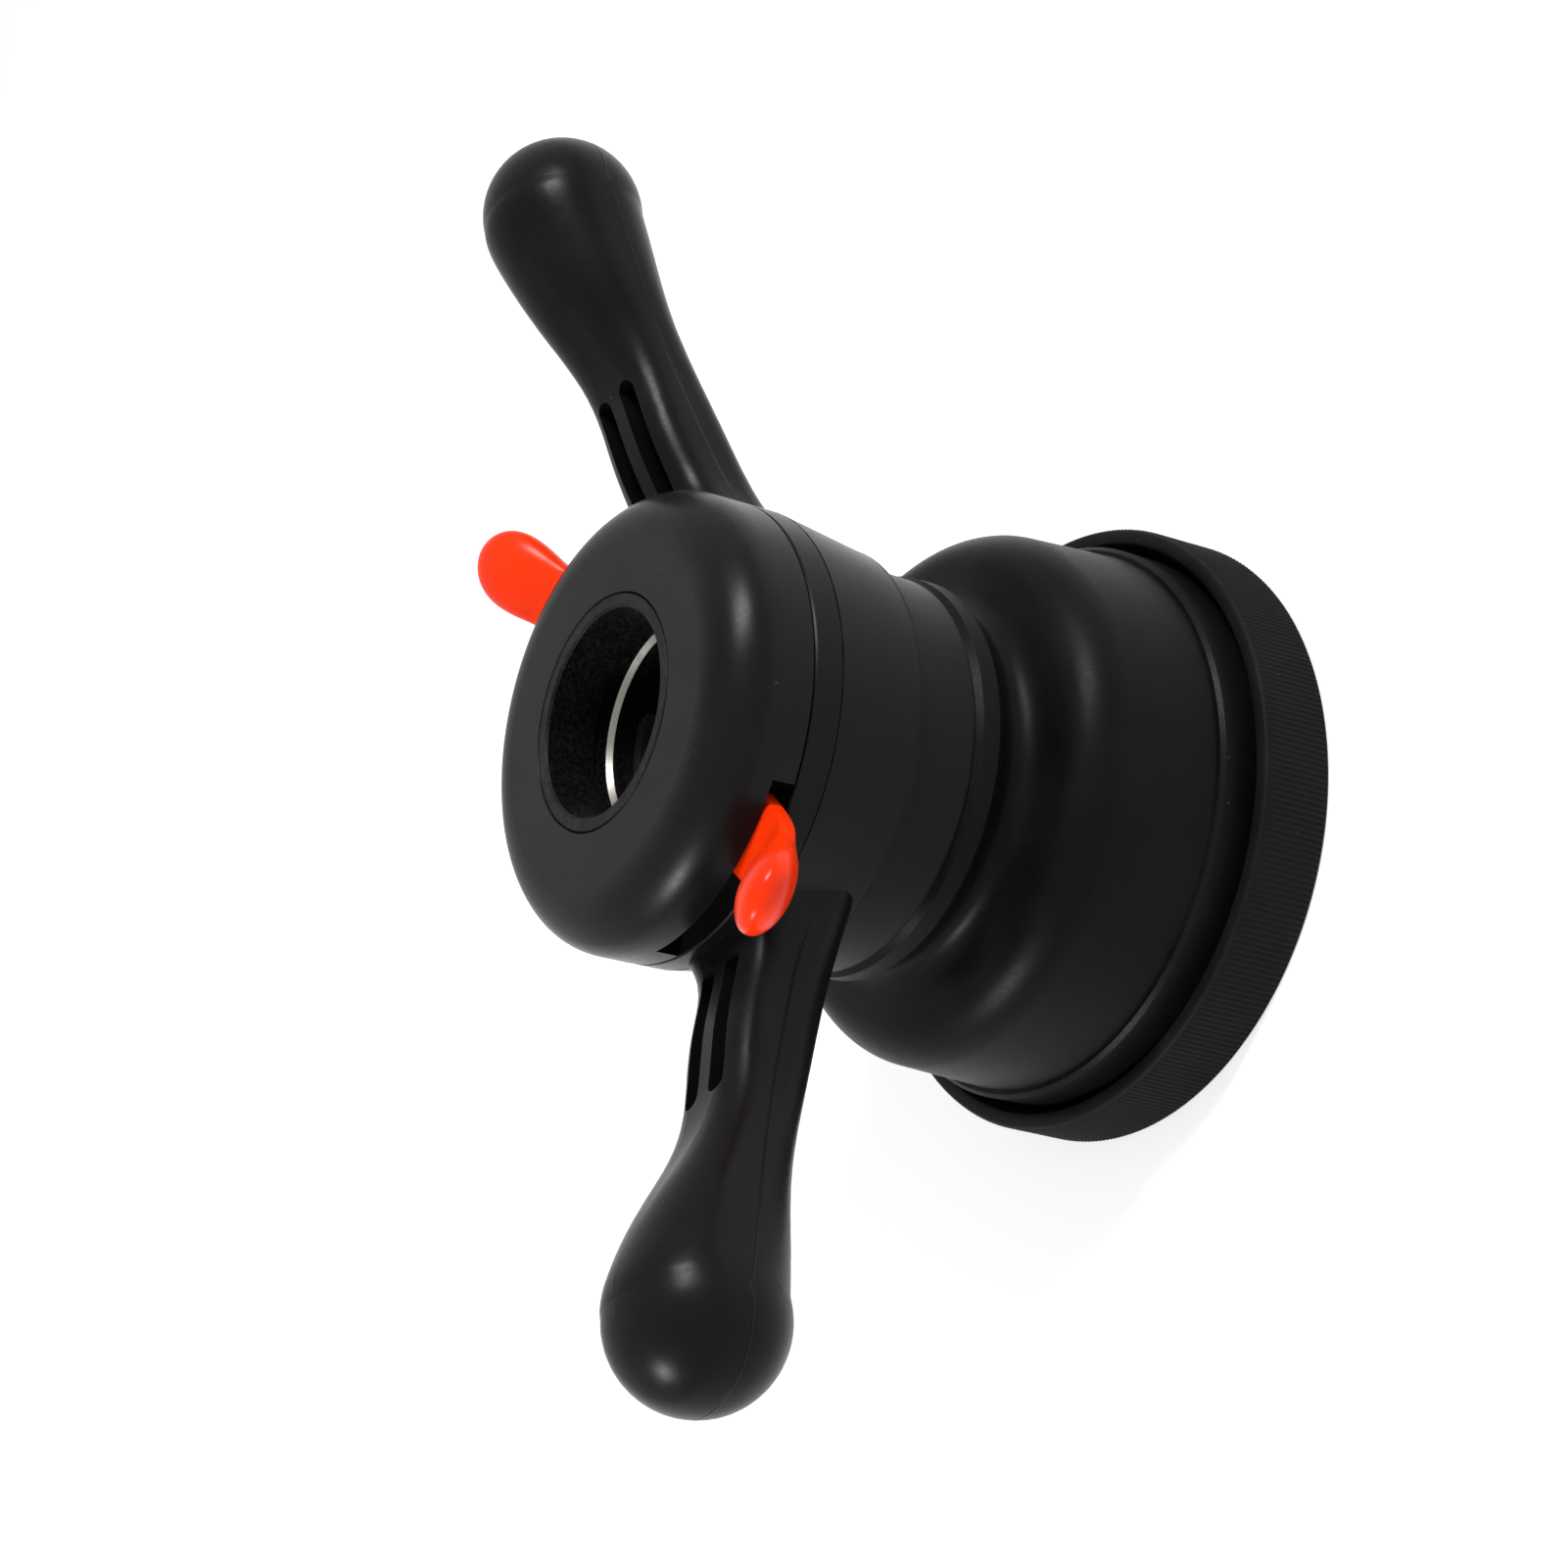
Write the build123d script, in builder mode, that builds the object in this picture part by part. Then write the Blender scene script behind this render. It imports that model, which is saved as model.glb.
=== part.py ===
"""Quick-release hub nut of a wheel balancer, with its pressure bowl and rubber ring.

The threaded spindle runs through the nut along +Z. z = 0 is the face of the rubber ring
that presses on the wheel; the cap, on the operator's side, is at the top. The two handles
lie along +X and -X. All sizes are in millimetres and all angles in degrees.
"""

import os
from math import asin, cos, degrees, radians, sin, sqrt

from build123d import *

# ------------------------------------------------------------------ driving dimensions
# Spindle that the nut runs on
spindle_d = 40.0  # outside diameter of its thread
thread_pitch = 4.0
thread_depth = 2.0
thread_open = 0.36  # half width of the thread's groove at its crest, in pitches
thread_floor = 0.16  # and at its root
thread_overcut = 0.6
bore_gap = 0.25  # radial gap between the spindle and the plain bore
bush_gap = 0.10  # radial gap between the spindle and the guide bush

# Clearances
run_gap = 0.3  # between pieces that move on each other
seat_gap = 0.05  # between pieces that are seated, pressed or screwed together
seam_gap = 0.3  # the visible joint lines

# Rubber ring
rubber_wall = 5.55  # outside the bowl's rim
rubber_h = 15.8
rubber_mouth = 1.95  # flare of the groove's mouth
rubber_floor_t = 4.0
rubber_lip_h = 9.0  # height of the tight part of the groove
rubber_inner_t = 3.5
rubber_inner_h = 11.0
rubber_edge = 0.8

# Pressure bowl
bowl_rim_r = 57.0
bowl_wall = 3.4
bowl_step_z = 22.2  # upper edge of the thick rim
bowl_step = 1.8  # from the rim in to the wall
bowl_taper = 1.0  # of the wall, from the rim to the shoulder
bowl_corner_z = 42.0
bowl_neck_wall = 3.5
bowl_lip_over = 0.3  # of the lip, beyond the nose
bowl_lip_h = 5.0

# Pressure ring, the nut's nose
nose_low_z = 68.0
nose_floor_t = 3.2
nose_wall = 3.4
nose_room = 2.5  # between the races and the nose wall
spigot_wall = 5.6
spigot_room = 3.8  # between the core and the spigot's bore
spigot_h = 16.0
grip_lift = 5.0  # of the grip ring's groove, from the spigot's end
grip_h = 2.0
grip_depth = 1.4
seal_lift = 1.5
seal_h = 3.0

# Thrust bearing
race_room = 1.4  # between the core and the races
race_w = 9.0
race_t = 2.4
race_groove = 0.7
ball_d = 5.0
ball_gap = 0.15
ball_count = 18
cage_t = 1.6

# Core tube
core_wall = 3.35
core_flange_t = 4.0
core_tail_h = 10.0  # tube below the nose floor
washer_t = 1.5
circlip_t = 1.8
circlip_depth = 1.3
circlip_rim = 2.4  # that it stands out of its groove
circlip_mouth = 9.0

# Nut body
body_edge = 2.3  # of the body's lower edge, beyond the nose
body_taper = 2.8
body_floor_t = 6.0
body_flange_h = 5.9  # straight part below the cap
cavity_room = 1.3  # round the cam ring

# Jaws
jaw_w = 25.0
jaw_h = 15.8
jaw_stop = 0.4  # left behind an open jaw
jaw_travel = 3.2
rail_t = 4.2
spring_d = 6.0
spring_wire = 0.8
spring_turns = 5
spring_offset = 7.5  # sideways from the middle of the jaw
spring_web = 4.2  # of the jaw, between the spindle and the springs

# Cam ring and pins
plate_t = 1.6
cam_t = 3.4
cam_edge = 2.1  # outside the slots
cam_turn = 30.0  # the levers' swing towards the handles
pin_d = 4.0
pin_out = 4.4  # from the core to the closed jaw's pin
pin_slot_gap = 0.3
pin_socket_h = 9.0  # height of the pin's hole in the jaw
ear_w = 10.0
ear_t = 1.8
ear_lift = 1.3  # above the cam ring's lower face
ear_out = 3.5  # beyond the head

# Levers
lever_angle = 31.0  # from the handle to the lever at rest
lever_w = 15.4
lever_t = 4.4
lever_root_in = 6.8  # inside the head
lever_bend_out = 6.0
lever_lean = 36.0
lever_fillet = 8.0
lever_edge = 1.2
pad_d = 16.8
pad_t = 9.6
pad_flat_r = 2.0
pad_out = 21.4  # beyond the head
pad_rise = 8.85  # above the lever's arm
rivet_d = 3.0
rivet_sink = 0.1
rivet_in = 3.0

# Cap
cap_h = 17.65
cap_wall = 3.2
cap_corner = 11.0
collar_wall = 2.2
notch_h = 5.0
notch_rest_margin = 5.5
notch_turned_margin = 3.5

# Bore sleeve and guide bush
sleeve_h = 14.0
sleeve_wall = 2.65
relief_h = 2.4
relief_depth = 1.0
bush_h = 2.0
bush_wall = 1.75
bush_chamfer = 1.0

# Screws
screw_d = 3.0
screw_head_d = 5.4
screw_head_h = 2.4
head_sink = 0.6  # of the cap screws' heads
socket_r = 0.9
socket_h = 0.7
cap_screw_bite = 6.0  # into the cap's bosses
boss_hole_h = 8.0
screw_short = 1.0  # that the core screws end below the body's floor
boss_d = 6.0
boss_gap = 1.2  # between a boss and the cap's top wall

# Handles
bulb_r = 16.5
bulb_out = 78.0  # beyond the head
bulb_rise = 38.95  # above the body's lower edge
bulb_join = 2.0  # from the bulb's middle back to the end of the neck
neck_w = 22.0
front_rise = 23.55  # of the handle's front at its root, above the body's lower edge
front_slope = 0.27
pocket_w = 4.5
pocket_pitch = 8.0
pocket_start = 4.0  # beyond the head
pocket_l = 31.0
pocket_depth = 8.0

# ------------------------------------------------------------------ places worked out
spindle_r = spindle_d / 2
bore_r = spindle_r + bore_gap
core_r = bore_r + core_wall
race_inner_r = core_r + race_room
race_outer_r = race_inner_r + race_w
core_flange_r = race_outer_r
core_screw_r = race_inner_r + race_w / 2
spigot_bore_r = core_r + spigot_room
spigot_r = spigot_bore_r + spigot_wall
nose_r = race_outer_r + nose_room + nose_wall
body_waist_r = nose_r + body_edge
body_r = body_waist_r + body_taper
pin_pos_r = core_r + pin_out
cam_outer_r = pin_pos_r + jaw_travel + pin_d / 2 + cam_edge
cavity_r = cam_outer_r + cavity_room
jaw_back_r = cavity_r - jaw_travel - jaw_stop
spring_seat_y = spindle_r + spring_web
cap_screw_r = cavity_r + screw_d / 2 + 0.5
nose_floor_z = nose_low_z + nose_floor_t
lower_race_z = nose_floor_z + seat_gap
ball_z = lower_race_z + race_t - race_groove + ball_gap + ball_d / 2
upper_race_z = ball_z + ball_d / 2 + ball_gap - race_groove
core_flange_z = upper_race_z + race_t + seat_gap
body_floor_z = core_flange_z + core_flange_t + seat_gap
body_low_z = body_floor_z - core_flange_t / 2
jaw_low_z = body_floor_z + body_floor_t + run_gap
jaw_top_z = jaw_low_z + jaw_h
plate_z = jaw_top_z + run_gap
body_top_z = plate_z + plate_t
cap_low_z = body_top_z + seam_gap
cap_top_z = cap_low_z + cap_h
cam_low_z = body_top_z + run_gap
cam_top_z = cam_low_z + cam_t
core_top_z = cap_top_z - sleeve_h
core_low_z = nose_low_z - core_tail_h
spigot_low_z = nose_low_z - spigot_h
grip_low_z = spigot_low_z + grip_lift
nose_top_z = body_low_z - seam_gap
bowl_neck_r = spigot_r + run_gap
bowl_waist_r = bowl_neck_r + bowl_neck_wall
bowl_lip_r = nose_r + bowl_lip_over
bowl_wall_r = bowl_rim_r - bowl_step
bowl_corner_r = bowl_wall_r - bowl_taper
bowl_lip_z = nose_low_z - seam_gap
bowl_low_z = rubber_floor_t + seat_gap
lever_root_r = body_r - lever_root_in
lever_bend_r = body_r + lever_bend_out
pad_pos_r = body_r + pad_out
ear_end_r = body_r + ear_out
rivet_pos_r = body_r - rivet_in
bulb_pos_r = body_r + bulb_out
bulb_z = body_low_z + bulb_rise
pocket_start_r = body_r + pocket_start
pocket_end_r = pocket_start_r + pocket_l
opposite = [0.0, 180.0]

os.makedirs("parts", exist_ok=True)


def save(builder, label):
    """Labels a finished piece and writes its STEP file."""
    builder.part.label = label
    export_step(builder.part, f"parts/{label}.step")


def tube(inner_r, outer_r, low_z, high_z, mode=Mode.ADD):
    """A plain ring round the spindle axis, in the part being built."""
    with BuildSketch(Plane.XY.offset(low_z)) as section:
        Circle(outer_r)
        if inner_r:
            Circle(inner_r, mode=Mode.SUBTRACT)
    extrude(section.sketch, amount=high_z - low_z, mode=mode)


def turned(points):
    """A closed profile of (radius, z) points, turned round the spindle axis."""
    with BuildSketch(Plane.XZ) as section:
        with BuildLine():
            Polyline(*points, close=True)
        make_face()
    revolve(section.sketch, axis=Axis.Z)


def radial_plane(radius, z, angle=0.0):
    """A plane facing outwards along a handle or lever, with its x axis sideways."""
    way = (cos(radians(angle)), sin(radians(angle)), 0)
    side = (-sin(radians(angle)), cos(radians(angle)), 0)
    return Plane(origin=(radius * way[0], radius * way[1], z), x_dir=side, z_dir=way)


# ------------------------------------------------------------------ bowl and rubber ring
with BuildPart() as rubber_ring:
    groove_outer_r = bowl_rim_r + seat_gap
    groove_inner_r = bowl_rim_r - bowl_wall - seat_gap
    rubber_r = groove_outer_r + rubber_wall
    inner_r = groove_inner_r - rubber_inner_t
    turned([
        (inner_r, 0),
        (rubber_r - rubber_edge, 0),
        (rubber_r, rubber_edge),
        (rubber_r, rubber_h - rubber_edge),
        (rubber_r - rubber_edge, rubber_h),
        (groove_outer_r + rubber_mouth, rubber_h),
        (groove_outer_r, rubber_lip_h),
        (groove_outer_r, rubber_floor_t),
        (groove_inner_r, rubber_floor_t),
        (groove_inner_r, rubber_inner_h),
        (inner_r, rubber_inner_h),
    ])
save(rubber_ring, "rubber_ring")

with BuildPart() as pressure_bowl:
    waist_z = bowl_lip_z - bowl_lip_h - 6.5
    with BuildSketch(Plane.XZ):
        with BuildLine():
            rim = Polyline(
                (bowl_rim_r - bowl_wall, bowl_low_z),
                (bowl_rim_r, bowl_low_z),
                (bowl_rim_r, bowl_step_z - 0.8),
                (bowl_rim_r - 0.8, bowl_step_z),
                (bowl_wall_r + 0.2, bowl_step_z),
                (bowl_wall_r, bowl_step_z + 1.0),
                (bowl_corner_r, bowl_corner_z),
            )
            shoulder = Spline(
                (bowl_corner_r, bowl_corner_z),
                (bowl_corner_r - 2.6, bowl_corner_z + 6.8),
                (bowl_corner_r - 8.0, bowl_corner_z + 10.2),
                tangents=[(-0.03, 1), (-1, 0.22)],
            )
            waist = Spline(
                shoulder @ 1,
                (bowl_waist_r + 2.4, waist_z - 2.6),
                (bowl_waist_r, waist_z + 0.5),
                (bowl_waist_r + 1.0, waist_z + 3.9),
                (bowl_lip_r, bowl_lip_z - bowl_lip_h),
                tangents=[(-1, 0.22), (0.5, 1)],
            )
            lip = Polyline(
                waist @ 1,
                (bowl_lip_r, bowl_lip_z - 1.2),
                (bowl_lip_r - 1.2, bowl_lip_z),
                (bowl_neck_r, bowl_lip_z),
                (bowl_neck_r, waist_z - 5.4),
            )
            inside = Spline(
                lip @ 1,
                (bowl_corner_r - 8.0, bowl_corner_z + 10.2 - bowl_wall - 0.4),
                (bowl_corner_r - bowl_wall, bowl_corner_z),
                tangents=[(1, -0.14), (0.03, -1)],
            )
            Polyline(
                inside @ 1,
                (bowl_wall_r - bowl_wall, bowl_step_z),
                (bowl_rim_r - bowl_wall, bowl_step_z - 3),
                rim @ 0,
            )
        make_face()
    revolve(axis=Axis.Z)
save(pressure_bowl, "pressure_bowl")

# ------------------------------------------------------------------ nose and bearing
with BuildPart() as pressure_ring:
    hub_hole_r = core_r + run_gap
    turned([
        (spigot_bore_r, spigot_low_z),
        (spigot_r - 1.0, spigot_low_z),
        (spigot_r, spigot_low_z + 1.0),
        (spigot_r, grip_low_z),
        (spigot_r - grip_depth, grip_low_z),
        (spigot_r - grip_depth, grip_low_z + grip_h),
        (spigot_r, grip_low_z + grip_h),
        (spigot_r, nose_low_z),
        (nose_r - 0.5, nose_low_z),
        (nose_r - 0.4, nose_low_z + 0.5),
        (nose_r, nose_top_z - 0.6),
        (nose_r - 0.6, nose_top_z),
        (nose_r - nose_wall, nose_top_z),
        (nose_r - nose_wall, nose_floor_z),
        (hub_hole_r, nose_floor_z),
        (hub_hole_r, nose_low_z),
        (spigot_bore_r, nose_low_z),
    ])
save(pressure_ring, "pressure_ring")

with BuildPart() as bowl_grip_ring:
    tube(spigot_r - grip_depth + seat_gap, spigot_r, grip_low_z + seat_gap, grip_low_z + grip_h - seat_gap)
save(bowl_grip_ring, "bowl_grip_ring")

with BuildPart() as dust_seal:
    seal_z = core_low_z + seal_lift
    seal_outer_r = spigot_bore_r - seat_gap
    seal_inner_r = core_r + run_gap
    turned([
        (seal_inner_r, seal_z + 1.2),
        (seal_inner_r + 1.2, seal_z),
        (seal_outer_r, seal_z),
        (seal_outer_r, seal_z + seal_h),
        (seal_inner_r + 0.8, seal_z + seal_h),
        (seal_inner_r, seal_z + seal_h - 1.0),
    ])
save(dust_seal, "dust_seal")

race_groove_r = ball_d / 2 + ball_gap
ball_pos_r = (race_inner_r + race_outer_r) / 2

with BuildPart() as lower_race:
    tube(race_inner_r, race_outer_r, lower_race_z, lower_race_z + race_t)
    with BuildSketch(Plane.XZ):
        with Locations((ball_pos_r, ball_z)):
            Circle(race_groove_r)
    revolve(axis=Axis.Z, mode=Mode.SUBTRACT)
save(lower_race, "lower_race")

with BuildPart() as upper_race:
    tube(race_inner_r, race_outer_r, upper_race_z, upper_race_z + race_t)
    with BuildSketch(Plane.XZ):
        with Locations((ball_pos_r, ball_z)):
            Circle(race_groove_r)
    revolve(axis=Axis.Z, mode=Mode.SUBTRACT)
save(upper_race, "upper_race")

with BuildPart() as bearing_balls:
    with Locations((0, 0, ball_z)):
        with PolarLocations(ball_pos_r, ball_count):
            Sphere(ball_d / 2)
save(bearing_balls, "bearing_balls")

with BuildPart() as ball_cage:
    tube(race_inner_r + 1, race_outer_r - 1, ball_z - cage_t / 2, ball_z + cage_t / 2)
    with BuildSketch(Plane.XY.offset(ball_z - cage_t)):
        with PolarLocations(ball_pos_r, ball_count):
            Circle(ball_d / 2 + ball_gap)
    extrude(amount=2 * cage_t, mode=Mode.SUBTRACT)
save(ball_cage, "ball_cage")

# ------------------------------------------------------------------ core
window_w = jaw_w + 2 * run_gap
bush_r = spindle_r + bush_gap + bush_wall
washer_z = nose_low_z - seat_gap - washer_t
circlip_z = washer_z - seat_gap - circlip_t
core_screw_l = core_flange_t + body_floor_t - screw_short

with BuildPart() as hub_core:
    tube(bore_r, core_r, core_low_z, core_top_z)
    tube(core_r - 1, core_flange_r, core_flange_z, core_flange_z + core_flange_t)
    tube(core_r - circlip_depth, core_r + 1, circlip_z, circlip_z + circlip_t, mode=Mode.SUBTRACT)
    tube(0, bush_r + seat_gap, core_top_z - bush_h, core_top_z, mode=Mode.SUBTRACT)
    with BuildSketch(Plane.XY.offset(jaw_low_z - run_gap)):
        Rectangle(window_w, 2 * core_r + 4)
    extrude(amount=jaw_h + 2 * run_gap, mode=Mode.SUBTRACT)
    with Locations((0, 0, core_flange_z)):
        with PolarLocations(core_screw_r, 4, 45):
            Cone(
                screw_head_d / 2 + seat_gap,
                screw_d / 2 + seat_gap,
                screw_head_h / 2,
                align=(Align.CENTER, Align.CENTER, Align.MIN),
                mode=Mode.SUBTRACT,
            )
            Cylinder(
                screw_d / 2 + seat_gap,
                core_flange_t,
                align=(Align.CENTER, Align.CENTER, Align.MIN),
                mode=Mode.SUBTRACT,
            )
save(hub_core, "hub_core")

with BuildPart() as core_screws:
    with Locations((0, 0, core_flange_z + seat_gap)):
        with PolarLocations(core_screw_r, 4, 45):
            Cone(
                screw_head_d / 2,
                screw_d / 2,
                screw_head_h / 2,
                align=(Align.CENTER, Align.CENTER, Align.MIN),
            )
            Cylinder(screw_d / 2, core_screw_l, align=(Align.CENTER, Align.CENTER, Align.MIN))
            Cylinder(socket_r, socket_h, align=(Align.CENTER, Align.CENTER, Align.MIN), mode=Mode.SUBTRACT)
save(core_screws, "core_screws")

with BuildPart() as thrust_washer:
    tube(core_r + seat_gap, spigot_bore_r - run_gap, washer_z, washer_z + washer_t)
save(thrust_washer, "thrust_washer")

with BuildPart() as circlip:
    clip_inner_r = core_r - circlip_depth + seat_gap
    clip_low_z = circlip_z + seat_gap
    clip_high_z = circlip_z + circlip_t - seat_gap
    tube(clip_inner_r, core_r + circlip_rim, clip_low_z, clip_high_z)
    with BuildSketch(Plane.XY.offset(clip_low_z)):
        with Locations((core_r, 0)):
            Rectangle(3 * circlip_rim, circlip_mouth)
    extrude(amount=circlip_t, mode=Mode.SUBTRACT)
save(circlip, "circlip")

with BuildPart() as guide_bush:
    bush_inner_r = spindle_r + bush_gap
    turned([
        (bush_inner_r, core_top_z - bush_h + seat_gap),
        (bush_r, core_top_z - bush_h + seat_gap),
        (bush_r, core_top_z - seat_gap),
        (bush_inner_r + bush_chamfer, core_top_z - seat_gap),
        (bush_inner_r, core_top_z - seat_gap - bush_chamfer),
    ])
save(guide_bush, "guide_bush")

with BuildPart() as bore_sleeve:
    sleeve_r = bore_r + sleeve_wall
    turned([
        (bore_r + relief_depth, core_top_z + seat_gap),
        (sleeve_r, core_top_z + seat_gap),
        (sleeve_r, cap_top_z - 0.2),
        (sleeve_r - 0.2, cap_top_z),
        (bore_r + 0.5, cap_top_z),
        (bore_r, cap_top_z - 0.5),
        (bore_r, core_top_z + relief_h + relief_depth),
        (bore_r + relief_depth, core_top_z + relief_h),
    ])
save(bore_sleeve, "bore_sleeve")

# ------------------------------------------------------------------ nut body with handles
# Each section of a handle: how far beyond the head, rise of its back above the body's
# lower edge, depth from front to back, extra width, corner radius.
join_r = sqrt(bulb_r**2 - bulb_join**2) - seat_gap
handle_sections = [
    (-7.0, 0.4, 22.4, 12.0, 6.0),
    (2.0, 2.8, 20.8, 5.0, 6.5),
    (15.0, 7.2, 20.0, 0.4, 6.5),
    (29.0, 12.2, 18.6, 0.0, 6.5),
    (43.0, 16.8, 19.4, 0.8, 8.0),
    (55.0, 19.6, 25.2, 4.0, 11.0),
    (65.0, 20.8, 30.6, 7.2, 14.0),
    (71.0, 21.7, 32.7, 9.2, 15.5),
    (bulb_out - bulb_join, bulb_rise - join_r, 2 * join_r, 2 * join_r - neck_w, join_r - seat_gap),
]
cap_screw_angles = [60.0, 120.0, 240.0, 300.0]

with BuildPart() as nut_body:
    for angle in opposite:
        for beyond, rise, depth, flare, corner in handle_sections:
            middle_z = body_low_z + rise + depth / 2
            with BuildSketch(radial_plane(body_r + beyond, middle_z, angle)):
                RectangleRounded(neck_w + flare, depth, corner)
        loft()
    with Locations((bulb_pos_r, 0, bulb_z), (-bulb_pos_r, 0, bulb_z)):
        Sphere(bulb_r)
    for angle in opposite:
        out = cos(radians(angle))
        middle_r = (pocket_start_r + pocket_end_r) / 2
        front_z = body_low_z + front_rise + front_slope * (middle_r - body_r - 2)
        front = Plane(
            origin=(out * middle_r, 0, front_z),
            x_dir=(out, 0, front_slope),
            z_dir=(-out * front_slope, 0, 1),
        )
        with BuildSketch(front.offset(4)):
            with GridLocations(1, pocket_pitch, 1, 2):
                SlotOverall(pocket_end_r - pocket_start_r, pocket_w)
        extrude(amount=-pocket_depth - 4, mode=Mode.SUBTRACT)
    tube(core_r + seat_gap, body_waist_r, body_low_z, body_top_z)
    with BuildSketch(Plane.XZ):
        with BuildLine():
            Polyline(
                (cavity_r, body_low_z),
                (body_waist_r - 0.8, body_low_z),
                (body_waist_r, body_low_z + 0.8),
                (body_r, body_top_z - body_flange_h - 0.2),
                (body_r - 0.25, body_top_z - body_flange_h - 0.1),
                (body_r - 0.25, body_top_z - body_flange_h + 0.1),
                (body_r, body_top_z - body_flange_h + 0.2),
                (body_r, body_top_z - 0.3),
                (body_r - 0.3, body_top_z),
                (cavity_r, body_top_z),
                close=True,
            )
        make_face()
    revolve(axis=Axis.Z)
    tube(0, cavity_r, body_floor_z + body_floor_t, body_top_z + 20, mode=Mode.SUBTRACT)
    tube(0, core_r + seat_gap, body_low_z - 1, body_top_z, mode=Mode.SUBTRACT)
    tube(0, core_flange_r + seat_gap, body_low_z - 1, body_floor_z, mode=Mode.SUBTRACT)
    with BuildSketch(Plane.XY.offset(body_floor_z + body_floor_t)):
        with GridLocations(window_w + rail_t, 0, 2, 1):
            Rectangle(rail_t, 2 * cavity_r + 1)
        Circle(cavity_r + 0.5, mode=Mode.INTERSECT)
        Circle(core_r + seat_gap, mode=Mode.SUBTRACT)
    extrude(amount=plate_z - seat_gap - body_floor_z - body_floor_t)
    with BuildSketch(Plane.XY.offset(body_floor_z)):
        with PolarLocations(core_screw_r, 4, 45):
            Circle(screw_d / 2 + seat_gap)
    extrude(amount=body_floor_t, mode=Mode.SUBTRACT)
    with BuildSketch(Plane.XY.offset(body_low_z)):
        for angle in cap_screw_angles:
            with Locations(Location((0, 0, 0), (0, 0, angle))):
                with Locations((cap_screw_r, 0)):
                    Circle(screw_d / 2 + seat_gap)
    extrude(amount=body_top_z - body_low_z, mode=Mode.SUBTRACT)
    with BuildSketch(Plane.XY.offset(body_low_z)):
        for angle in cap_screw_angles:
            with Locations(Location((0, 0, 0), (0, 0, angle))):
                with Locations((cap_screw_r, 0)):
                    Circle(screw_head_d / 2 + seat_gap)
    extrude(amount=screw_head_h + head_sink, mode=Mode.SUBTRACT)
save(nut_body, "nut_body")

with BuildPart() as guide_plate:
    slot_low_r = pin_pos_r - pin_d / 2 - pin_slot_gap
    slot_high_r = pin_pos_r + jaw_travel + pin_d / 2 + pin_slot_gap
    slot_l = slot_high_r - slot_low_r
    with BuildSketch(Plane.XY.offset(plate_z)):
        Circle(cavity_r - seat_gap)
        Circle(core_r + seat_gap, mode=Mode.SUBTRACT)
        with PolarLocations((slot_low_r + slot_high_r) / 2, 2, 90):
            SlotOverall(slot_l, pin_d + 2 * pin_slot_gap, mode=Mode.SUBTRACT)
    extrude(amount=plate_t)
save(guide_plate, "guide_plate")

with BuildPart() as cap_screws:
    for angle in cap_screw_angles:
        with Locations(Location((0, 0, 0), (0, 0, angle))):
            with Locations((cap_screw_r, 0, body_low_z + head_sink)):
                Cylinder(
                    screw_head_d / 2,
                    screw_head_h,
                    align=(Align.CENTER, Align.CENTER, Align.MIN),
                )
                Cylinder(
                    screw_d / 2,
                    cap_low_z + cap_screw_bite - body_low_z - head_sink,
                    align=(Align.CENTER, Align.CENTER, Align.MIN),
                )
                Cylinder(
                    socket_r,
                    socket_h,
                    align=(Align.CENTER, Align.CENTER, Align.MIN),
                    mode=Mode.SUBTRACT,
                )
save(cap_screws, "cap_screws")

# ------------------------------------------------------------------ jaws, pins, springs
spring_z = jaw_low_z + jaw_h / 2
pin_depth_z = jaw_h - pin_socket_h
spring_wall_y = sqrt(cavity_r**2 - (spring_offset + spring_d / 2) ** 2)

with BuildPart() as thread_cutter:
    cut_turns = int(jaw_h / thread_pitch) + 2
    cut_low_z = jaw_low_z - thread_pitch
    crest_r = spindle_r - thread_depth
    with BuildLine() as thread_line:
        Helix(thread_pitch, cut_turns * thread_pitch, crest_r, center=(0, 0, cut_low_z))
    with BuildSketch(Plane(origin=(crest_r, 0, cut_low_z), x_dir=(1, 0, 0), z_dir=(0, -1, 0))):
        with BuildLine():
            Polyline(
                (-thread_overcut, -thread_open * thread_pitch),
                (-thread_overcut, thread_open * thread_pitch),
                (thread_depth + bore_gap, thread_floor * thread_pitch),
                (thread_depth + bore_gap, -thread_floor * thread_pitch),
                close=True,
            )
        make_face()
    sweep(path=thread_line.line, is_frenet=True)

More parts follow.
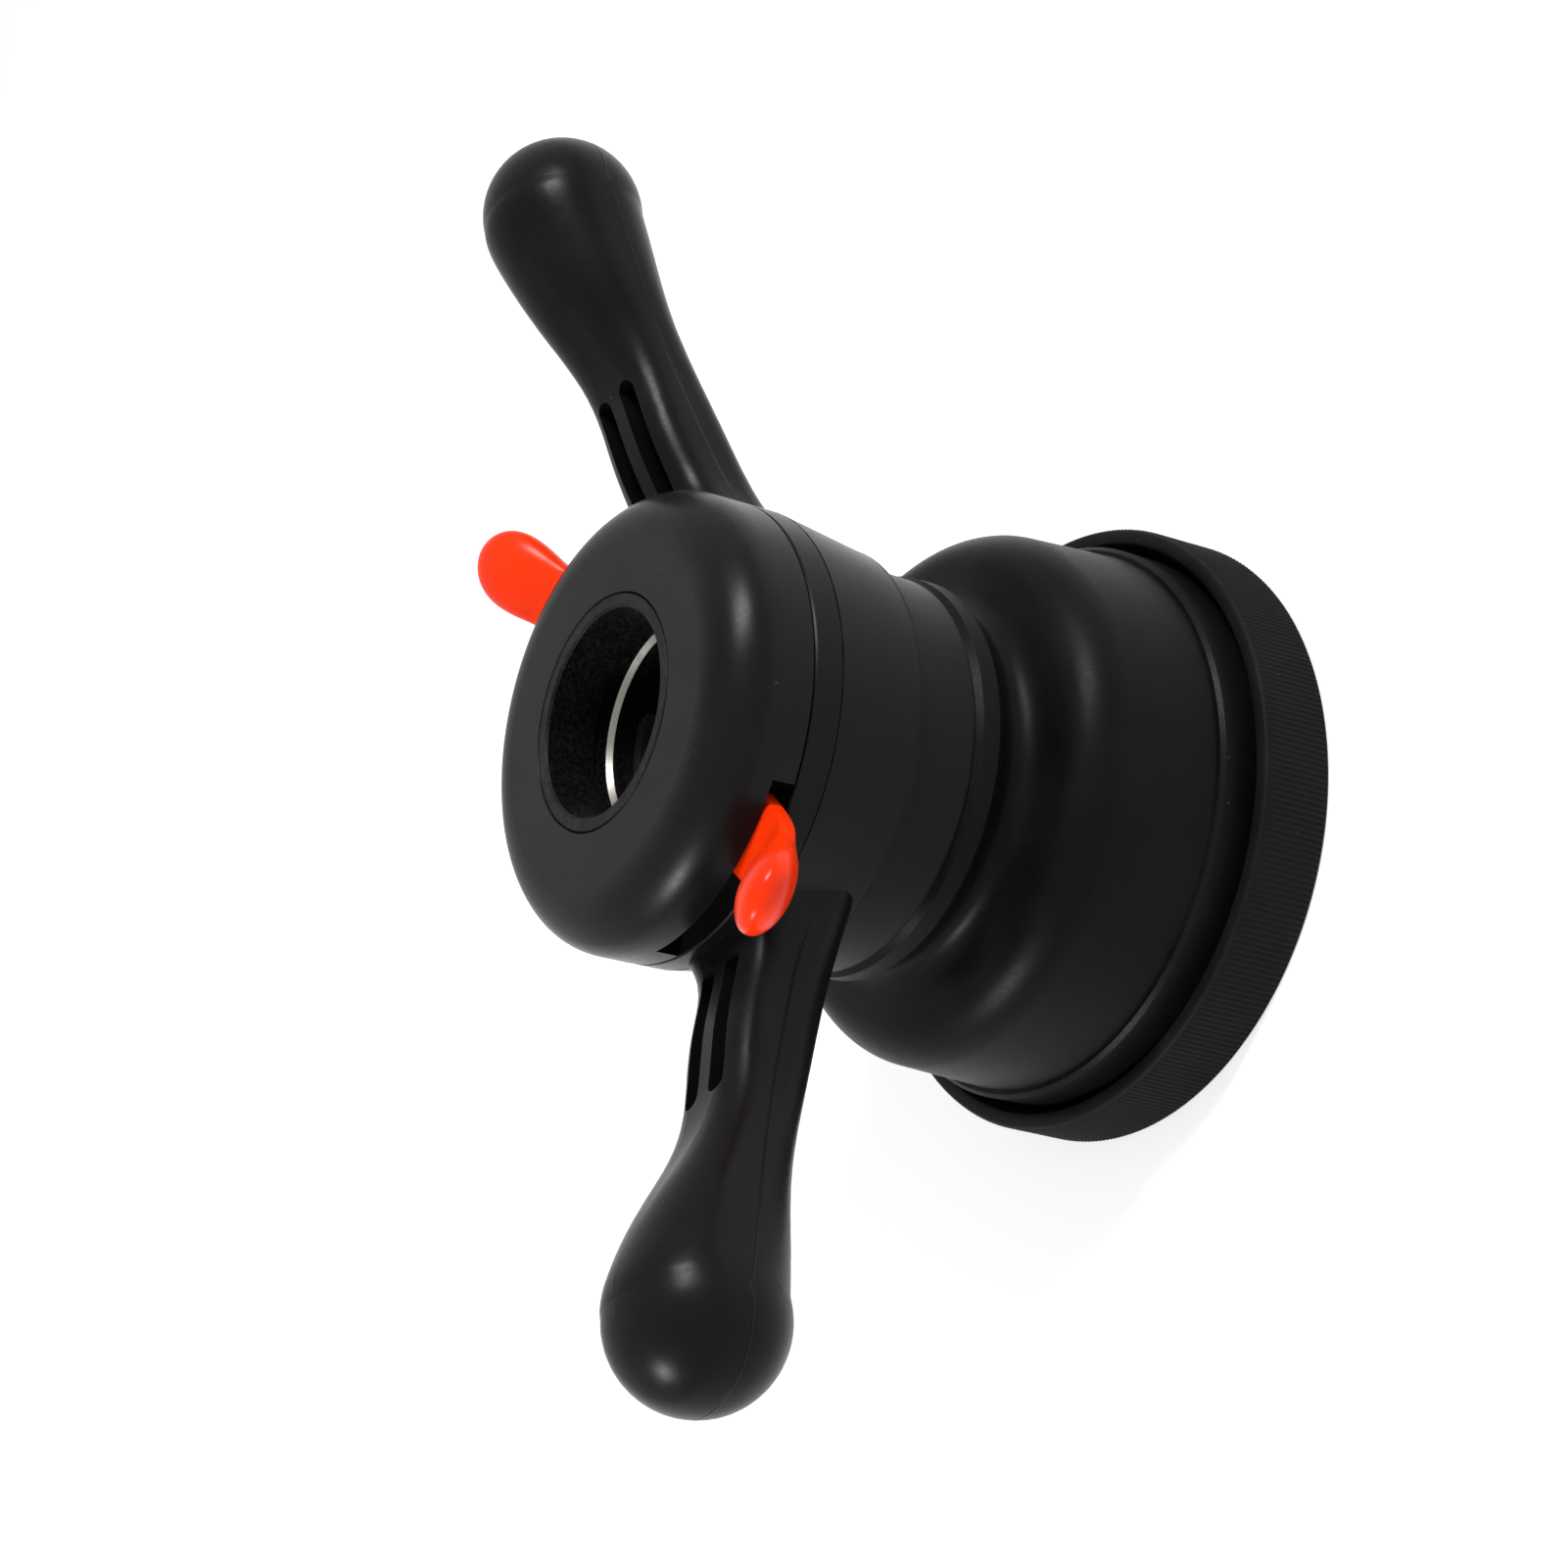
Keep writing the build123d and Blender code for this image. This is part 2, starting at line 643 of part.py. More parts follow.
for number, side in enumerate(opposite, start=1):
    way = cos(radians(side))
    with BuildPart() as thread_jaw:
        with BuildSketch(Plane.XY.offset(jaw_low_z)):
            Circle(jaw_back_r)
            Circle(crest_r, mode=Mode.SUBTRACT)
            with Locations((0, way * jaw_back_r / 2)):
                Rectangle(jaw_w, jaw_back_r, mode=Mode.INTERSECT)
        extrude(amount=jaw_h)
        add(thread_cutter.part, mode=Mode.SUBTRACT)
        with BuildSketch(Plane.XY.offset(jaw_low_z + pin_depth_z)):
            with Locations((0, way * pin_pos_r)):
                Circle(pin_d / 2 + seat_gap)
        extrude(amount=jaw_h, mode=Mode.SUBTRACT)
        with BuildSketch(Plane.XZ.offset(-way * spring_seat_y)):
            with Locations((spring_offset, spring_z), (-spring_offset, spring_z)):
                Circle(spring_d / 2 + run_gap)
        extrude(amount=-way * jaw_back_r, mode=Mode.SUBTRACT)
    save(thread_jaw, f"thread_jaw_{number}")

    with BuildPart() as jaw_pin:
        with BuildSketch(Plane.XY.offset(jaw_low_z + pin_depth_z + seat_gap)):
            with Locations((0, way * pin_pos_r)):
                Circle(pin_d / 2)
        extrude(amount=cam_top_z - jaw_low_z - pin_depth_z - seat_gap)
    save(jaw_pin, f"jaw_pin_{number}")

    with BuildPart() as jaw_springs:
        for offset_x in (-spring_offset, spring_offset):
            start_y = way * (spring_seat_y + spring_wire / 2 + seat_gap)
            spring_l = spring_wall_y - spring_seat_y - spring_wire - 2 * seat_gap
            coil_r = (spring_d - spring_wire) / 2
            with BuildLine() as coil:
                Helix(
                    spring_l / spring_turns,
                    spring_l,
                    coil_r,
                    center=(offset_x, start_y, spring_z),
                    direction=(0, way, 0),
                )
            with BuildSketch(Plane(origin=coil.line @ 0, z_dir=coil.line % 0)):
                Circle(spring_wire / 2)
            sweep(path=coil.line, is_frenet=True)
    save(jaw_springs, f"jaw_springs_{number}")

# ------------------------------------------------------------------ cam ring and levers
ear_low_z = cam_low_z + ear_lift
cam_hole_r = core_r + run_gap
lever_low_z = cam_low_z
lever_middle_z = lever_low_z + lever_t / 2
slot_half = pin_d / 2 + pin_slot_gap
slot_steps = 6


def cam_slot_edge(offset, start):
    """Points of one long edge of a cam slot, whose distance grows evenly with the angle."""
    points = []
    for step in range(slot_steps + 1):
        share = step / slot_steps
        radius = pin_pos_r + jaw_travel * share + offset
        angle = radians(start + cam_turn * share)
        points.append((radius * cos(angle), radius * sin(angle)))
    return points


with BuildPart() as cam_ring:
    tube(cam_hole_r, cam_outer_r, cam_low_z, cam_top_z)
    for angle in opposite:
        start = angle + 90
        with BuildSketch(Plane.XY.offset(cam_low_z)):
            with BuildLine():
                inner_edge = Spline(*cam_slot_edge(-slot_half, start))
                outer_edge = Spline(*cam_slot_edge(slot_half, start))
                Line(inner_edge @ 0, outer_edge @ 0)
                Line(inner_edge @ 1, outer_edge @ 1)
            make_face()
            with Locations(cam_slot_edge(0, start)[0], cam_slot_edge(0, start)[-1]):
                Circle(slot_half)
        extrude(amount=cam_t, mode=Mode.SUBTRACT)
        ear_plane = radial_plane(cam_outer_r - 3, ear_low_z + ear_t / 2, angle + lever_angle)
        with BuildSketch(ear_plane):
            Rectangle(ear_w, ear_t)
        extrude(amount=ear_end_r - cam_outer_r + 3)
        rivet_plane = radial_plane(rivet_pos_r, 0, angle + lever_angle)
        with BuildSketch(Plane(origin=rivet_plane.origin)):
            Circle(rivet_d / 2 + seat_gap)
        extrude(amount=cam_top_z + 1, mode=Mode.SUBTRACT)
save(cam_ring, "cam_ring")

for number, side in enumerate(opposite, start=1):
    angle = side + lever_angle
    out_x = cos(radians(angle))
    out_y = sin(radians(angle))
    lean_cos = cos(radians(lever_lean))
    lean_sin = sin(radians(lever_lean))
    pad_centre = (pad_pos_r * out_x, pad_pos_r * out_y, lever_middle_z + pad_rise)
    with BuildPart() as release_lever:
        with BuildLine() as arm_line:
            FilletPolyline(
                (lever_root_r * out_x, lever_root_r * out_y, lever_middle_z),
                (lever_bend_r * out_x, lever_bend_r * out_y, lever_middle_z),
                pad_centre,
                radius=lever_fillet,
            )
        with BuildSketch(radial_plane(lever_root_r, lever_middle_z, angle)):
            RectangleRounded(lever_w, lever_t, lever_edge)
        sweep(path=arm_line.line)
        pad_way = (lean_cos * out_x, lean_cos * out_y, lean_sin)
        pad_normal = (-lean_sin * out_x, -lean_sin * out_y, lean_cos)
        with BuildSketch(Plane(origin=pad_centre, x_dir=(-out_y, out_x, 0), z_dir=pad_way)):
            with BuildLine():
                pad_face = Line((0, pad_t / 2), (pad_flat_r, pad_t / 2))
                Spline(
                    pad_face @ 1,
                    (pad_d * 0.41, pad_t * 0.34),
                    (pad_d / 2, 0),
                    tangents=[(1, 0), (0, -1)],
                )
                mirror(about=Plane.XZ)
                Line((0, -pad_t / 2), (0, pad_t / 2))
            make_face()
        revolve(axis=Axis(pad_centre, pad_normal))
        with BuildSketch(radial_plane(lever_root_r - 1, ear_low_z + ear_t / 2, angle)):
            Rectangle(ear_w + 2 * seat_gap, ear_t + 2 * seat_gap)
        extrude(amount=ear_end_r - lever_root_r + 1 + seat_gap, mode=Mode.SUBTRACT)
        with BuildSketch(Plane(origin=(rivet_pos_r * out_x, rivet_pos_r * out_y, 0))):
            Circle(rivet_d / 2 + seat_gap)
        extrude(amount=lever_low_z + lever_t + 1, mode=Mode.SUBTRACT)
    save(release_lever, f"release_lever_{number}")

with BuildPart() as lever_rivets:
    for side in opposite:
        rivet_place = radial_plane(rivet_pos_r, lever_low_z + rivet_sink, side + lever_angle)
        with BuildSketch(Plane(origin=rivet_place.origin)):
            Circle(rivet_d / 2)
        extrude(amount=lever_t - 2 * rivet_sink)
save(lever_rivets, "lever_rivets")

# ------------------------------------------------------------------ cap
cap_hole_r = sleeve_r + seam_gap
lever_half_angle = degrees(asin(lever_w / 2 / body_r))
notch_start = lever_angle - cam_turn - lever_half_angle - notch_turned_margin
notch_end = lever_angle + lever_half_angle + notch_rest_margin

with BuildPart() as front_cap:
    with BuildSketch(Plane.XZ):
        with BuildLine():
            outside = Polyline(
                (body_r - cap_wall, cap_low_z),
                (body_r - 0.3, cap_low_z),
                (body_r, cap_low_z + 0.3),
                (body_r, cap_top_z - cap_corner),
            )
            corner = Spline(
                outside @ 1,
                (body_r - cap_corner * 0.28, cap_top_z - cap_corner * 0.30),
                (body_r - cap_corner, cap_top_z),
                tangents=[(0, 1), (-1, 0)],
            )
            face = Polyline(
                corner @ 1,
                (cap_hole_r + 0.2, cap_top_z),
                (cap_hole_r, cap_top_z - 0.2),
                (cap_hole_r, cam_top_z + run_gap + 1),
                (cap_hole_r + collar_wall, cam_top_z + run_gap + 1),
                (cap_hole_r + collar_wall, cap_top_z - cap_wall),
                (body_r - cap_corner, cap_top_z - cap_wall),
            )
            inner_corner = Spline(
                face @ 1,
                (body_r - cap_wall - 2.4, cap_top_z - cap_wall - 2.4),
                (body_r - cap_wall, cap_top_z - cap_corner),
                tangents=[(1, 0), (0, -1)],
            )
            Line(inner_corner @ 1, outside @ 0)
        make_face()
    revolve(axis=Axis.Z)
    with BuildSketch(Plane.XY.offset(cap_low_z)):
        for angle in cap_screw_angles:
            with Locations(Location((0, 0, 0), (0, 0, angle))):
                with Locations((cap_screw_r, 0)):
                    Circle(boss_d / 2)
    extrude(amount=cap_h - cap_wall - boss_gap)
    with BuildSketch(Plane.XY.offset(cap_low_z)):
        for angle in cap_screw_angles:
            with Locations(Location((0, 0, 0), (0, 0, angle))):
                with Locations((cap_screw_r, 0)):
                    Circle(screw_d / 2 + seat_gap)
    extrude(amount=boss_hole_h, mode=Mode.SUBTRACT)
    for side in opposite:
        with BuildSketch(Plane.XY.offset(cap_low_z)):
            with BuildLine():
                sweep_angle = notch_end - notch_start
                inner_arc = CenterArc((0, 0), cam_outer_r + 1, side + notch_start, sweep_angle)
                outer_arc = CenterArc((0, 0), body_r + 2, side + notch_start, sweep_angle)
                Line(inner_arc @ 0, outer_arc @ 0)
                Line(inner_arc @ 1, outer_arc @ 1)
            make_face()
        extrude(amount=notch_h, mode=Mode.SUBTRACT)
save(front_cap, "front_cap")
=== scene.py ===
"""Finish, light and camera for a wheel balancer's quick-release hub nut.

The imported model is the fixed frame. The plain mouldings and turned pieces keep their own
shapes and get their finishes here. The knurled rubber ring and the two thumb levers are
modelled here as meshes that stand for the frame's simple solids.
"""

import logging
import math
from dataclasses import dataclass, field
from enum import Enum

import bmesh
import bpy
from mathutils import Matrix, Vector


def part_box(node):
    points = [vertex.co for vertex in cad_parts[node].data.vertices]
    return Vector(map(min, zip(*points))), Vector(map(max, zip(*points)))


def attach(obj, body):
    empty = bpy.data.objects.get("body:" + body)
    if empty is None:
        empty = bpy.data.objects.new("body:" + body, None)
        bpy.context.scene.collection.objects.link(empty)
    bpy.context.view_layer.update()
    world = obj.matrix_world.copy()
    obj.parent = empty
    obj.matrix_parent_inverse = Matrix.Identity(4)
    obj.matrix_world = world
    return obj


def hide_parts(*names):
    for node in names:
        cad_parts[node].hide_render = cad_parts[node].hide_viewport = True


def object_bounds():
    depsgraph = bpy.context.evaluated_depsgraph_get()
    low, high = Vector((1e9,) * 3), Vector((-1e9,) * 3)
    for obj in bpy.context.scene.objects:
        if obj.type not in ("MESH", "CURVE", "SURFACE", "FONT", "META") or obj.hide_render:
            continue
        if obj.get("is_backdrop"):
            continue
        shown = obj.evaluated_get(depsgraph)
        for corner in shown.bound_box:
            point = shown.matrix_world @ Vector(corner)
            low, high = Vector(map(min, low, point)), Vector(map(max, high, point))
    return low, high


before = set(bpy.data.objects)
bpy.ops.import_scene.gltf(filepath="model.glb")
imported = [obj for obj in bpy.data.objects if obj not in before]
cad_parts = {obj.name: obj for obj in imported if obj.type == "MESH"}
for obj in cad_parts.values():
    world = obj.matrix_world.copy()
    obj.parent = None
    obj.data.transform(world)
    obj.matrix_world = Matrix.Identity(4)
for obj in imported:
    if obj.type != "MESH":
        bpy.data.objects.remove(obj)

log = logging.getLogger("hub_nut")

MM = 0.001
NOISE_MIDDLE = 0.5
PATCH_SPAN = (0.3, 0.7)  # noise values between which a patch goes from one look to the other
DUST_WARMTH = 1.03  # red over blue
MIX_SHARE, MIX_FIRST, MIX_SECOND = 0, 6, 7  # a Mix node's inputs when it mixes colours
MIX_RESULT = 2  # and its output


class Body(Enum):
    """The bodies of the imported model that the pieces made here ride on."""

    BOWL = "bowl"
    CAM = "cam"


class Slot(Enum):
    """The record's material slots."""

    NUT_PLASTIC = "nut_plastic"
    BOWL_PLASTIC = "bowl_plastic"
    RUBBER = "rubber"
    LEVER_PLASTIC = "lever_plastic"
    STEEL = "steel"
    DARK_STEEL = "dark_steel"
    CAST_BLACK = "cast_black"
    CAGE_BRASS = "cage_brass"


# ----------------------------------------------------------------------- node helpers
class NodeSheet:
    """A small writer for one node tree."""

    def __init__(self, tree: bpy.types.NodeTree) -> None:
        """Starts a writer.

        Args:
            tree: the node tree that the nodes are added to.
        """
        self.tree = tree

    def add(self, kind: str, **values: object) -> bpy.types.Node:
        """Adds a node and sets its own properties.

        Args:
            kind: the node's type name, such as "ShaderNodeMath".
            values: properties of the node.

        Returns:
            The new node.
        """
        node = self.tree.nodes.new(kind)
        for name, value in values.items():
            setattr(node, name, value)
        return node

    def join(self, source: bpy.types.NodeSocket, target: bpy.types.NodeSocket) -> None:
        """Links an output to an input."""
        self.tree.links.new(source, target)

    def put(self, target: bpy.types.NodeSocket, value: object) -> None:
        """Sets an input from another node's output, or from a plain value.

        Args:
            target: the input socket.
            value: an output socket, a number or a colour.
        """
        if isinstance(value, bpy.types.NodeSocket):
            self.join(value, target)
        else:
            target.default_value = value

    def math(
        self, operation: str, first: object, second: object = 0.0, third: object = 0.0
    ) -> bpy.types.NodeSocket:
        """A Math node.

        Args:
            operation: the node's operation, such as "MULTIPLY".
            first: the first input.
            second: the second input.
            third: the third input, where the operation has one.

        Returns:
            The node's output.
        """
        node = self.add("ShaderNodeMath", operation=operation)
        for socket, value in zip(node.inputs, (first, second, third)):
            self.put(socket, value)
        return node.outputs[0]

    def remap(
        self, value: object, low: float, high: float, out_low: object, out_high: object
    ) -> bpy.types.NodeSocket:
        """A Map Range node that clamps.

        Args:
            value: the input.
            low: input value that gives out_low.
            high: input value that gives out_high.
            out_low: output at the low end.
            out_high: output at the high end.

        Returns:
            The remapped value.
        """
        node = self.add("ShaderNodeMapRange", clamp=True)
        for name, item in (
            ("Value", value),
            ("From Min", low),
            ("From Max", high),
            ("To Min", out_low),
            ("To Max", out_high),
        ):
            self.put(node.inputs[name], item)
        return node.outputs["Result"]

    def noise(
        self, scale: object, detail: float, rough: float, where: object = None
    ) -> bpy.types.NodeSocket:
        """A Noise Texture over the object's own coordinates.

        Args:
            scale: lumps per metre.
            detail: octaves.
            rough: weight of the finer octaves.
            where: coordinates, or None for the object's own.

        Returns:
            The noise value.
        """
        node = self.add("ShaderNodeTexNoise")
        self.put(node.inputs["Scale"], scale)
        node.inputs["Detail"].default_value = detail
        node.inputs["Roughness"].default_value = rough
        self.join(where or self.place(), node.inputs["Vector"])
        return node.outputs["Fac"]

    def place(self) -> bpy.types.NodeSocket:
        """The object's own coordinates, in metres."""
        return self.add("ShaderNodeTexCoord").outputs["Object"]

    def blend(self, share: object, first: object, second: object) -> bpy.types.NodeSocket:
        """A colour mix.

        Args:
            share: how much of the second colour shows.
            first: the first colour.
            second: the second colour.

        Returns:
            The mixed colour.
        """
        node = self.add("ShaderNodeMix", data_type="RGBA")
        self.put(node.inputs[MIX_SHARE], share)
        self.put(node.inputs[MIX_FIRST], first)
        self.put(node.inputs[MIX_SECOND], second)
        return node.outputs[MIX_RESULT]


class EffectGroup:
    """A shader node group that is built once and placed in each material that uses it."""

    name = "effect"
    inputs: tuple[tuple[str, str, object], ...] = ()
    outputs: tuple[tuple[str, str], ...] = ()

    def tree(self) -> bpy.types.NodeTree:
        """The group's node tree, built on first use."""
        known = bpy.data.node_groups.get(self.name)
        if known:
            return known
        group = bpy.data.node_groups.new(self.name, "ShaderNodeTree")
        for label, kind, value in self.inputs:
            socket = group.interface.new_socket(name=label, in_out="INPUT", socket_type=kind)
            socket.default_value = value
        for label, kind in self.outputs:
            group.interface.new_socket(name=label, in_out="OUTPUT", socket_type=kind)
        sheet = NodeSheet(group)
        source = sheet.add("NodeGroupInput")
        target = sheet.add("NodeGroupOutput")
        self.draw(sheet, source.outputs, target.inputs)
        return group

    def draw(self, sheet: NodeSheet, given: object, result: object) -> None:
        """Fills the group.

        Args:
            sheet: the writer for the group's tree.
            given: the group's inputs, by name.
            result: the group's outputs, by name.
        """
        raise NotImplementedError

    def use(self, sheet: NodeSheet, **values: object) -> bpy.types.Node:
        """Places the group in a material.

        Args:
            sheet: the writer for the material's tree.
            values: inputs by name, with "_" for a space.

        Returns:
            The group node.
        """
        node = sheet.add("ShaderNodeGroup")
        node.node_tree = self.tree()
        for name, value in values.items():
            sheet.put(node.inputs[name.replace("_", " ")], value)
        return node


class MouldGrain(EffectGroup):
    """Fine grain of a moulded or cast surface, with patches that are more or less polished."""

    name = "mould_grain"
    inputs = (
        ("Grain Scale", "NodeSocketFloat", 1500.0),
        ("Patch Scale", "NodeSocketFloat", 40.0),
        ("Roughness Low", "NodeSocketFloat", 0.35),
        ("Roughness High", "NodeSocketFloat", 0.5),
        ("Speckle", "NodeSocketFloat", 0.1),
    )
    outputs = (
        ("Height", "NodeSocketFloat"),
        ("Roughness", "NodeSocketFloat"),
        ("Patches", "NodeSocketFloat"),
    )
    grain_detail = 3.0
    grain_weight = 0.6
    patch_detail = 4.0
    patch_weight = 0.55

    def draw(self, sheet: NodeSheet, given: object, result: object) -> None:
        """Fills the group. Args as in EffectGroup.draw."""
        grain = sheet.noise(given["Grain Scale"], self.grain_detail, self.grain_weight)
        patches = sheet.noise(given["Patch Scale"], self.patch_detail, self.patch_weight)
        base = sheet.remap(patches, *PATCH_SPAN, given["Roughness Low"], given["Roughness High"])
        speckle = sheet.math("MULTIPLY", sheet.math("SUBTRACT", grain, NOISE_MIDDLE), given["Speckle"])
        sheet.join(grain, result["Height"])
        sheet.join(sheet.math("ADD", base, speckle), result["Roughness"])
        sheet.join(patches, result["Patches"])


class PaintedEdgeGlint(EffectGroup):
    """A mask that is high along sharp outer edges and broken up by noise; the finishes lighten their colour
    with it, a painted highlight (edge glint).
    """

    name = "painted_edge_glint"
    inputs = (
        ("Width", "NodeSocketFloat", 0.0006),
        ("Amount", "NodeSocketFloat", 0.5),
        ("Break Scale", "NodeSocketFloat", 220.0),
    )
    outputs = (("Mask", "NodeSocketFloat"),)
    samples = 4
    bend = (0.995, 0.80)  # cosine between the rounded and the true normal: flat, and on an edge
    break_span = (0.38, 0.62)
    break_detail = 4.0
    break_weight = 0.6

    def draw(self, sheet: NodeSheet, given: object, result: object) -> None:
        """Fills the group. Args as in EffectGroup.draw."""
        soft = sheet.add("ShaderNodeBevel", samples=self.samples)
        sheet.join(given["Width"], soft.inputs["Radius"])
        shape = sheet.add("ShaderNodeNewGeometry")
        facing = sheet.add("ShaderNodeVectorMath", operation="DOT_PRODUCT")
        sheet.join(soft.outputs["Normal"], facing.inputs[0])
        sheet.join(shape.outputs["Normal"], facing.inputs[1])
        edge = sheet.remap(facing.outputs["Value"], *self.bend, 0.0, 1.0)
        patchy = sheet.noise(given["Break Scale"], self.break_detail, self.break_weight)
        breaks = sheet.remap(patchy, *self.break_span, 0.0, 1.0)
        # the edge mask, broken by noise: where the painted edge highlight goes
        glinted = sheet.math("MULTIPLY", edge, breaks)
        sheet.join(sheet.math("MULTIPLY", glinted, given["Amount"]), result["Mask"])


class Dust(EffectGroup):
    """Dust specks and a thin film that lies on faces that look up."""

    name = "dust"
    inputs = (
        ("Film", "NodeSocketFloat", 0.04),
        ("Specks", "NodeSocketFloat", 0.2),
        ("Speck Scale", "NodeSocketFloat", 260.0),
    )
    outputs = (("Mask", "NodeSocketFloat"),)
    cloud_scale = 55.0
    cloud_detail = 5.0
    cloud_weight = 0.6
    cloud_span = (0.35, 0.75)
    rise_span = (-0.2, 1.0)  # the normal's upward part, from thin film to full film
    thin_share = 0.25  # how much of the film is left on faces that look down
    speck_reach = (0.05, 0.09)  # from a speck's solid middle to its rim, in cells
    bare_share = 0.93  # how many of the cells hold no speck

    def draw(self, sheet: NodeSheet, given: object, result: object) -> None:
        """Fills the group. Args as in EffectGroup.draw."""
        shape = sheet.add("ShaderNodeNewGeometry")
        parts = sheet.add("ShaderNodeSeparateXYZ")
        sheet.join(shape.outputs["Normal"], parts.inputs[0])
        upward = sheet.remap(parts.outputs["Z"], *self.rise_span, self.thin_share, 1.0)
        lumps = sheet.noise(self.cloud_scale, self.cloud_detail, self.cloud_weight)
        cloud = sheet.remap(lumps, *self.cloud_span, 0.0, 1.0)
        film = sheet.math("MULTIPLY", sheet.math("MULTIPLY", upward, cloud), given["Film"])
        cells = sheet.add("ShaderNodeTexVoronoi", feature="F1")
        sheet.join(given["Speck Scale"], cells.inputs["Scale"])
        sheet.join(sheet.place(), cells.inputs["Vector"])
        near = sheet.remap(cells.outputs["Distance"], *self.speck_reach, 1.0, 0.0)
        pick = sheet.add("ShaderNodeSeparateColor")
        sheet.join(cells.outputs["Color"], pick.inputs[0])
        few = sheet.math("GREATER_THAN", pick.outputs[0], self.bare_share)
        specks = sheet.math("MULTIPLY", sheet.math("MULTIPLY", near, few), given["Specks"])
        sheet.join(sheet.math("MAXIMUM", film, specks), result["Mask"])


class TurnedMarks(EffectGroup):
    """Tool marks that run round the spindle axis, for turned and ground steel."""

    name = "turned_marks"
    inputs = (("Rings", "NodeSocketFloat", 2600.0), ("Wobble", "NodeSocketFloat", 0.25))
    outputs = (("Height", "NodeSocketFloat"), ("Streaks", "NodeSocketFloat"))
    mark_detail = 2.0
    mark_weight = 0.7
    cloud_scale = 120.0
    cloud_detail = 3.0
    cloud_weight = 0.5

    def draw(self, sheet: NodeSheet, given: object, result: object) -> None:
        """Fills the group. Args as in EffectGroup.draw."""
        parts = sheet.add("ShaderNodeSeparateXYZ")
        sheet.join(sheet.place(), parts.inputs[0])
        across, along = parts.outputs["X"], parts.outputs["Y"]
        square_x = sheet.math("MULTIPLY", across, across)
        radius = sheet.math("SQRT", sheet.math("MULTIPLY_ADD", along, along, square_x))
        lane = sheet.add("ShaderNodeCombineXYZ")
        sheet.join(radius, lane.inputs["X"])
        sheet.join(parts.outputs["Z"], lane.inputs["Y"])
        marks = sheet.noise(given["Rings"], self.mark_detail, self.mark_weight, lane.outputs[0])
        cloud = sheet.noise(self.cloud_scale, self.cloud_detail, self.cloud_weight)
        streaks = sheet.math("MULTIPLY_ADD", cloud, given["Wobble"], marks)
        sheet.join(marks, result["Height"])
        sheet.join(streaks, result["Streaks"])


GRAIN = MouldGrain()
# the painted edge highlight (glint) mask, used by the finishes below
GLINT = PaintedEdgeGlint()
DUST = Dust()
MARKS = TurnedMarks()


def grey(level: float, warm: float = 1.0) -> tuple[float, float, float, float]:
    """A near-grey colour.

    Args:
        level: linear brightness.
        warm: red over blue.

    Returns:
        The colour with full alpha.
    """
    return (level * warm, level, level / warm, 1.0)


def new_surface(name: str) -> tuple[bpy.types.Material, NodeSheet, bpy.types.Node]:
    """An empty material with its Principled shader.

    Args:
        name: the material's name.

    Returns:
        The material, its node writer and the shader.
    """
    material = bpy.data.materials.new(name)
    material.use_nodes = True
    material.node_tree.nodes.clear()
    sheet = NodeSheet(material.node_tree)
    shader = sheet.add("ShaderNodeBsdfPrincipled")
    out = sheet.add("ShaderNodeOutputMaterial")
    sheet.join(shader.outputs[0], out.inputs["Surface"])
    return material, sheet, shader


def add_bump(
    sheet: NodeSheet,
    shader: bpy.types.Node,
    height: bpy.types.NodeSocket,
    strength: float,
    depth: float,
    under: bpy.types.NodeSocket | None = None,
) -> bpy.types.NodeSocket:
    """Adds a Bump node before the shader's normal.

    Args:
        sheet: the material's node writer.
        shader: the Principled shader.
        height: the height field.
        strength: the Bump node's strength.
        depth: height in metres of a full step.
        under: a normal that this bump is laid over.

    Returns:
        The bumped normal.
    """
    bump = sheet.add("ShaderNodeBump")
    bump.inputs["Strength"].default_value = strength
    bump.inputs["Distance"].default_value = depth
    sheet.join(height, bump.inputs["Height"])
    if under is not None:
        sheet.join(under, bump.inputs["Normal"])
    sheet.join(bump.outputs[0], shader.inputs["Normal"])
    return bump.outputs[0]


# ----------------------------------------------------------------------- finishes
@dataclass(frozen=True)
class HandleSeam:
    """The raised mould line that runs along the sides of each handle and round its end."""

    root_r: float = 45.0 * MM
    tip_r: float = 123.0 * MM
    root_z: float = 94.5 * MM
    tip_z: float = 120.5 * MM
    first_r: float = 47.0 * MM  # no line nearer to the spindle axis than this
    crest: float = 0.08 * MM  # half width at full height
    foot: float = 0.30 * MM  # half width where it meets the face
    strength: float = 0.7
    depth: float = 0.25 * MM

    def height(self, sheet: NodeSheet) -> bpy.types.NodeSocket:
        """The line as a height field.

        Args:
            sheet: the material's node writer.

        Returns:
            A value that is 1 on the line and 0 away from it.
        """
        parts = sheet.add("ShaderNodeSeparateXYZ")
        sheet.join(sheet.place(), parts.inputs[0])
        out = sheet.math("ABSOLUTE", parts.outputs["X"])
        rise = sheet.remap(out, self.root_r, self.tip_r, self.root_z, self.tip_z)
        away = sheet.math("ABSOLUTE", sheet.math("SUBTRACT", parts.outputs["Z"], rise))
        line = sheet.remap(away, self.crest, self.foot, 1.0, 0.0)
        beyond = sheet.math("GREATER_THAN", out, self.first_r)
        return sheet.math("MULTIPLY", line, beyond)


